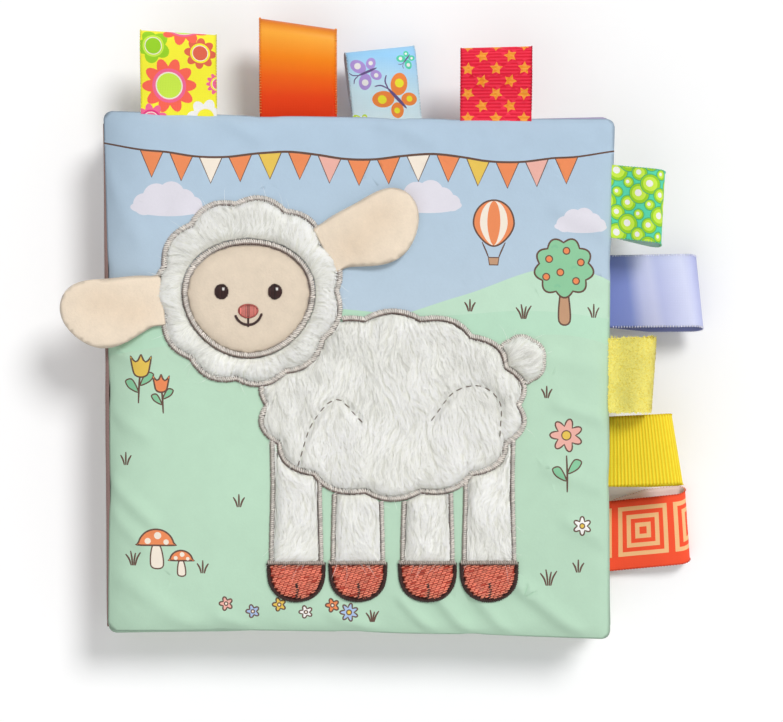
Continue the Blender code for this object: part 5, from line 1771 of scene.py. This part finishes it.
class BookSettings(bpy.types.PropertyGroup):
    """All settings of the cloth book."""

    leaves: bpy.props.PointerProperty(type=LeafSettings)
    ribbons: bpy.props.PointerProperty(type=RibbonSettings)
    lamb: bpy.props.PointerProperty(type=LambSettings)
    studio: bpy.props.PointerProperty(type=StudioSettings)


class CLOTHBOOK_OT_stage(bpy.types.Operator):
    """Makes the camera, the lamps, the world and the floor"""

    bl_idname = "clothbook.stage"
    bl_label = "Stage"

    def execute(self, context):
        make_stage()
        return {"FINISHED"}


class CLOTHBOOK_OT_leaves(bpy.types.Operator):
    """Makes the four padded printed leaves"""

    bl_idname = "clothbook.leaves"
    bl_label = "Leaves"

    def execute(self, context):
        for leaf in LEAVES:
            make_leaf(leaf)
        return {"FINISHED"}


class CLOTHBOOK_OT_ribbons(bpy.types.Operator):
    """Makes the nine ribbon loops"""

    bl_idname = "clothbook.ribbons"
    bl_label = "Ribbons"

    def execute(self, context):
        for name in RIBBONS:
            make_ribbon(name)
        return {"FINISHED"}


class CLOTHBOOK_OT_spine(bpy.types.Operator):
    """Makes the tape behind the leaves"""

    bl_idname = "clothbook.spine"
    bl_label = "Spine"

    def execute(self, context):
        make_spine()
        return {"FINISHED"}


class CLOTHBOOK_OT_fleece(bpy.types.Operator):
    """Makes the sheep's fleece pads"""

    bl_idname = "clothbook.fleece"
    bl_label = "Fleece"

    def execute(self, context):
        make_fleece()
        return {"FINISHED"}


class CLOTHBOOK_OT_borders(bpy.types.Operator):
    """Makes the satin-stitched borders and the running stitch"""

    bl_idname = "clothbook.borders"
    bl_label = "Borders"

    def execute(self, context):
        make_borders()
        return {"FINISHED"}


class CLOTHBOOK_OT_hooves(bpy.types.Operator):
    """Makes the embroidered hooves"""

    bl_idname = "clothbook.hooves"
    bl_label = "Hooves"

    def execute(self, context):
        make_hooves()
        return {"FINISHED"}


class CLOTHBOOK_OT_face(bpy.types.Operator):
    """Makes the velour face with its eyes, nose and mouth"""

    bl_idname = "clothbook.face"
    bl_label = "Face"

    def execute(self, context):
        make_face()
        return {"FINISHED"}


class CLOTHBOOK_OT_ears(bpy.types.Operator):
    """Makes the two velour ears"""

    bl_idname = "clothbook.ears"
    bl_label = "Ears"

    def execute(self, context):
        make_ears()
        return {"FINISHED"}


class CLOTHBOOK_OT_inner_parts(bpy.types.Operator):
    """Gives the crinkle film and the squeaker their plastics"""

    bl_idname = "clothbook.inner_parts"
    bl_label = "Inner parts"

    def execute(self, context):
        finish_inner_parts()
        return {"FINISHED"}


class CLOTHBOOK_PT_panel(bpy.types.Panel):
    """Lists the pieces and their sizes"""

    bl_label = "Cloth Book"
    bl_idname = "CLOTHBOOK_PT_panel"
    bl_space_type = "VIEW_3D"
    bl_region_type = "UI"
    bl_category = "Cloth Book"

    def draw(self, context):
        settings = context.scene.cloth_book
        for group in (settings.leaves, settings.ribbons, settings.lamb, settings.studio):
            box = self.layout.box()
            for name in group.__annotations__:
                box.prop(group, name)
        for operator in OPERATORS:
            self.layout.operator(operator.bl_idname)


GROUPS = (LeafSettings, RibbonSettings, LambSettings, StudioSettings, BookSettings)
OPERATORS = (CLOTHBOOK_OT_stage, CLOTHBOOK_OT_leaves, CLOTHBOOK_OT_spine, CLOTHBOOK_OT_ribbons,
             CLOTHBOOK_OT_fleece, CLOTHBOOK_OT_borders, CLOTHBOOK_OT_hooves, CLOTHBOOK_OT_face,
             CLOTHBOOK_OT_ears, CLOTHBOOK_OT_inner_parts)


def register():
    """Registers the settings, the operators and the panel."""
    for group in (*GROUPS, *OPERATORS, CLOTHBOOK_PT_panel):
        bpy.utils.register_class(group)
    bpy.types.Scene.cloth_book = bpy.props.PointerProperty(type=BookSettings)


def unregister():
    """Takes them away again."""
    del bpy.types.Scene.cloth_book
    for group in reversed((*GROUPS, *OPERATORS, CLOTHBOOK_PT_panel)):
        bpy.utils.unregister_class(group)


def main():
    """Registers the settings and makes every piece in order."""
    register()
    for operator in OPERATORS:
        group, name = operator.bl_idname.split(".")
        getattr(getattr(bpy.ops, group), name)()


if __name__ == "__main__":
    main()
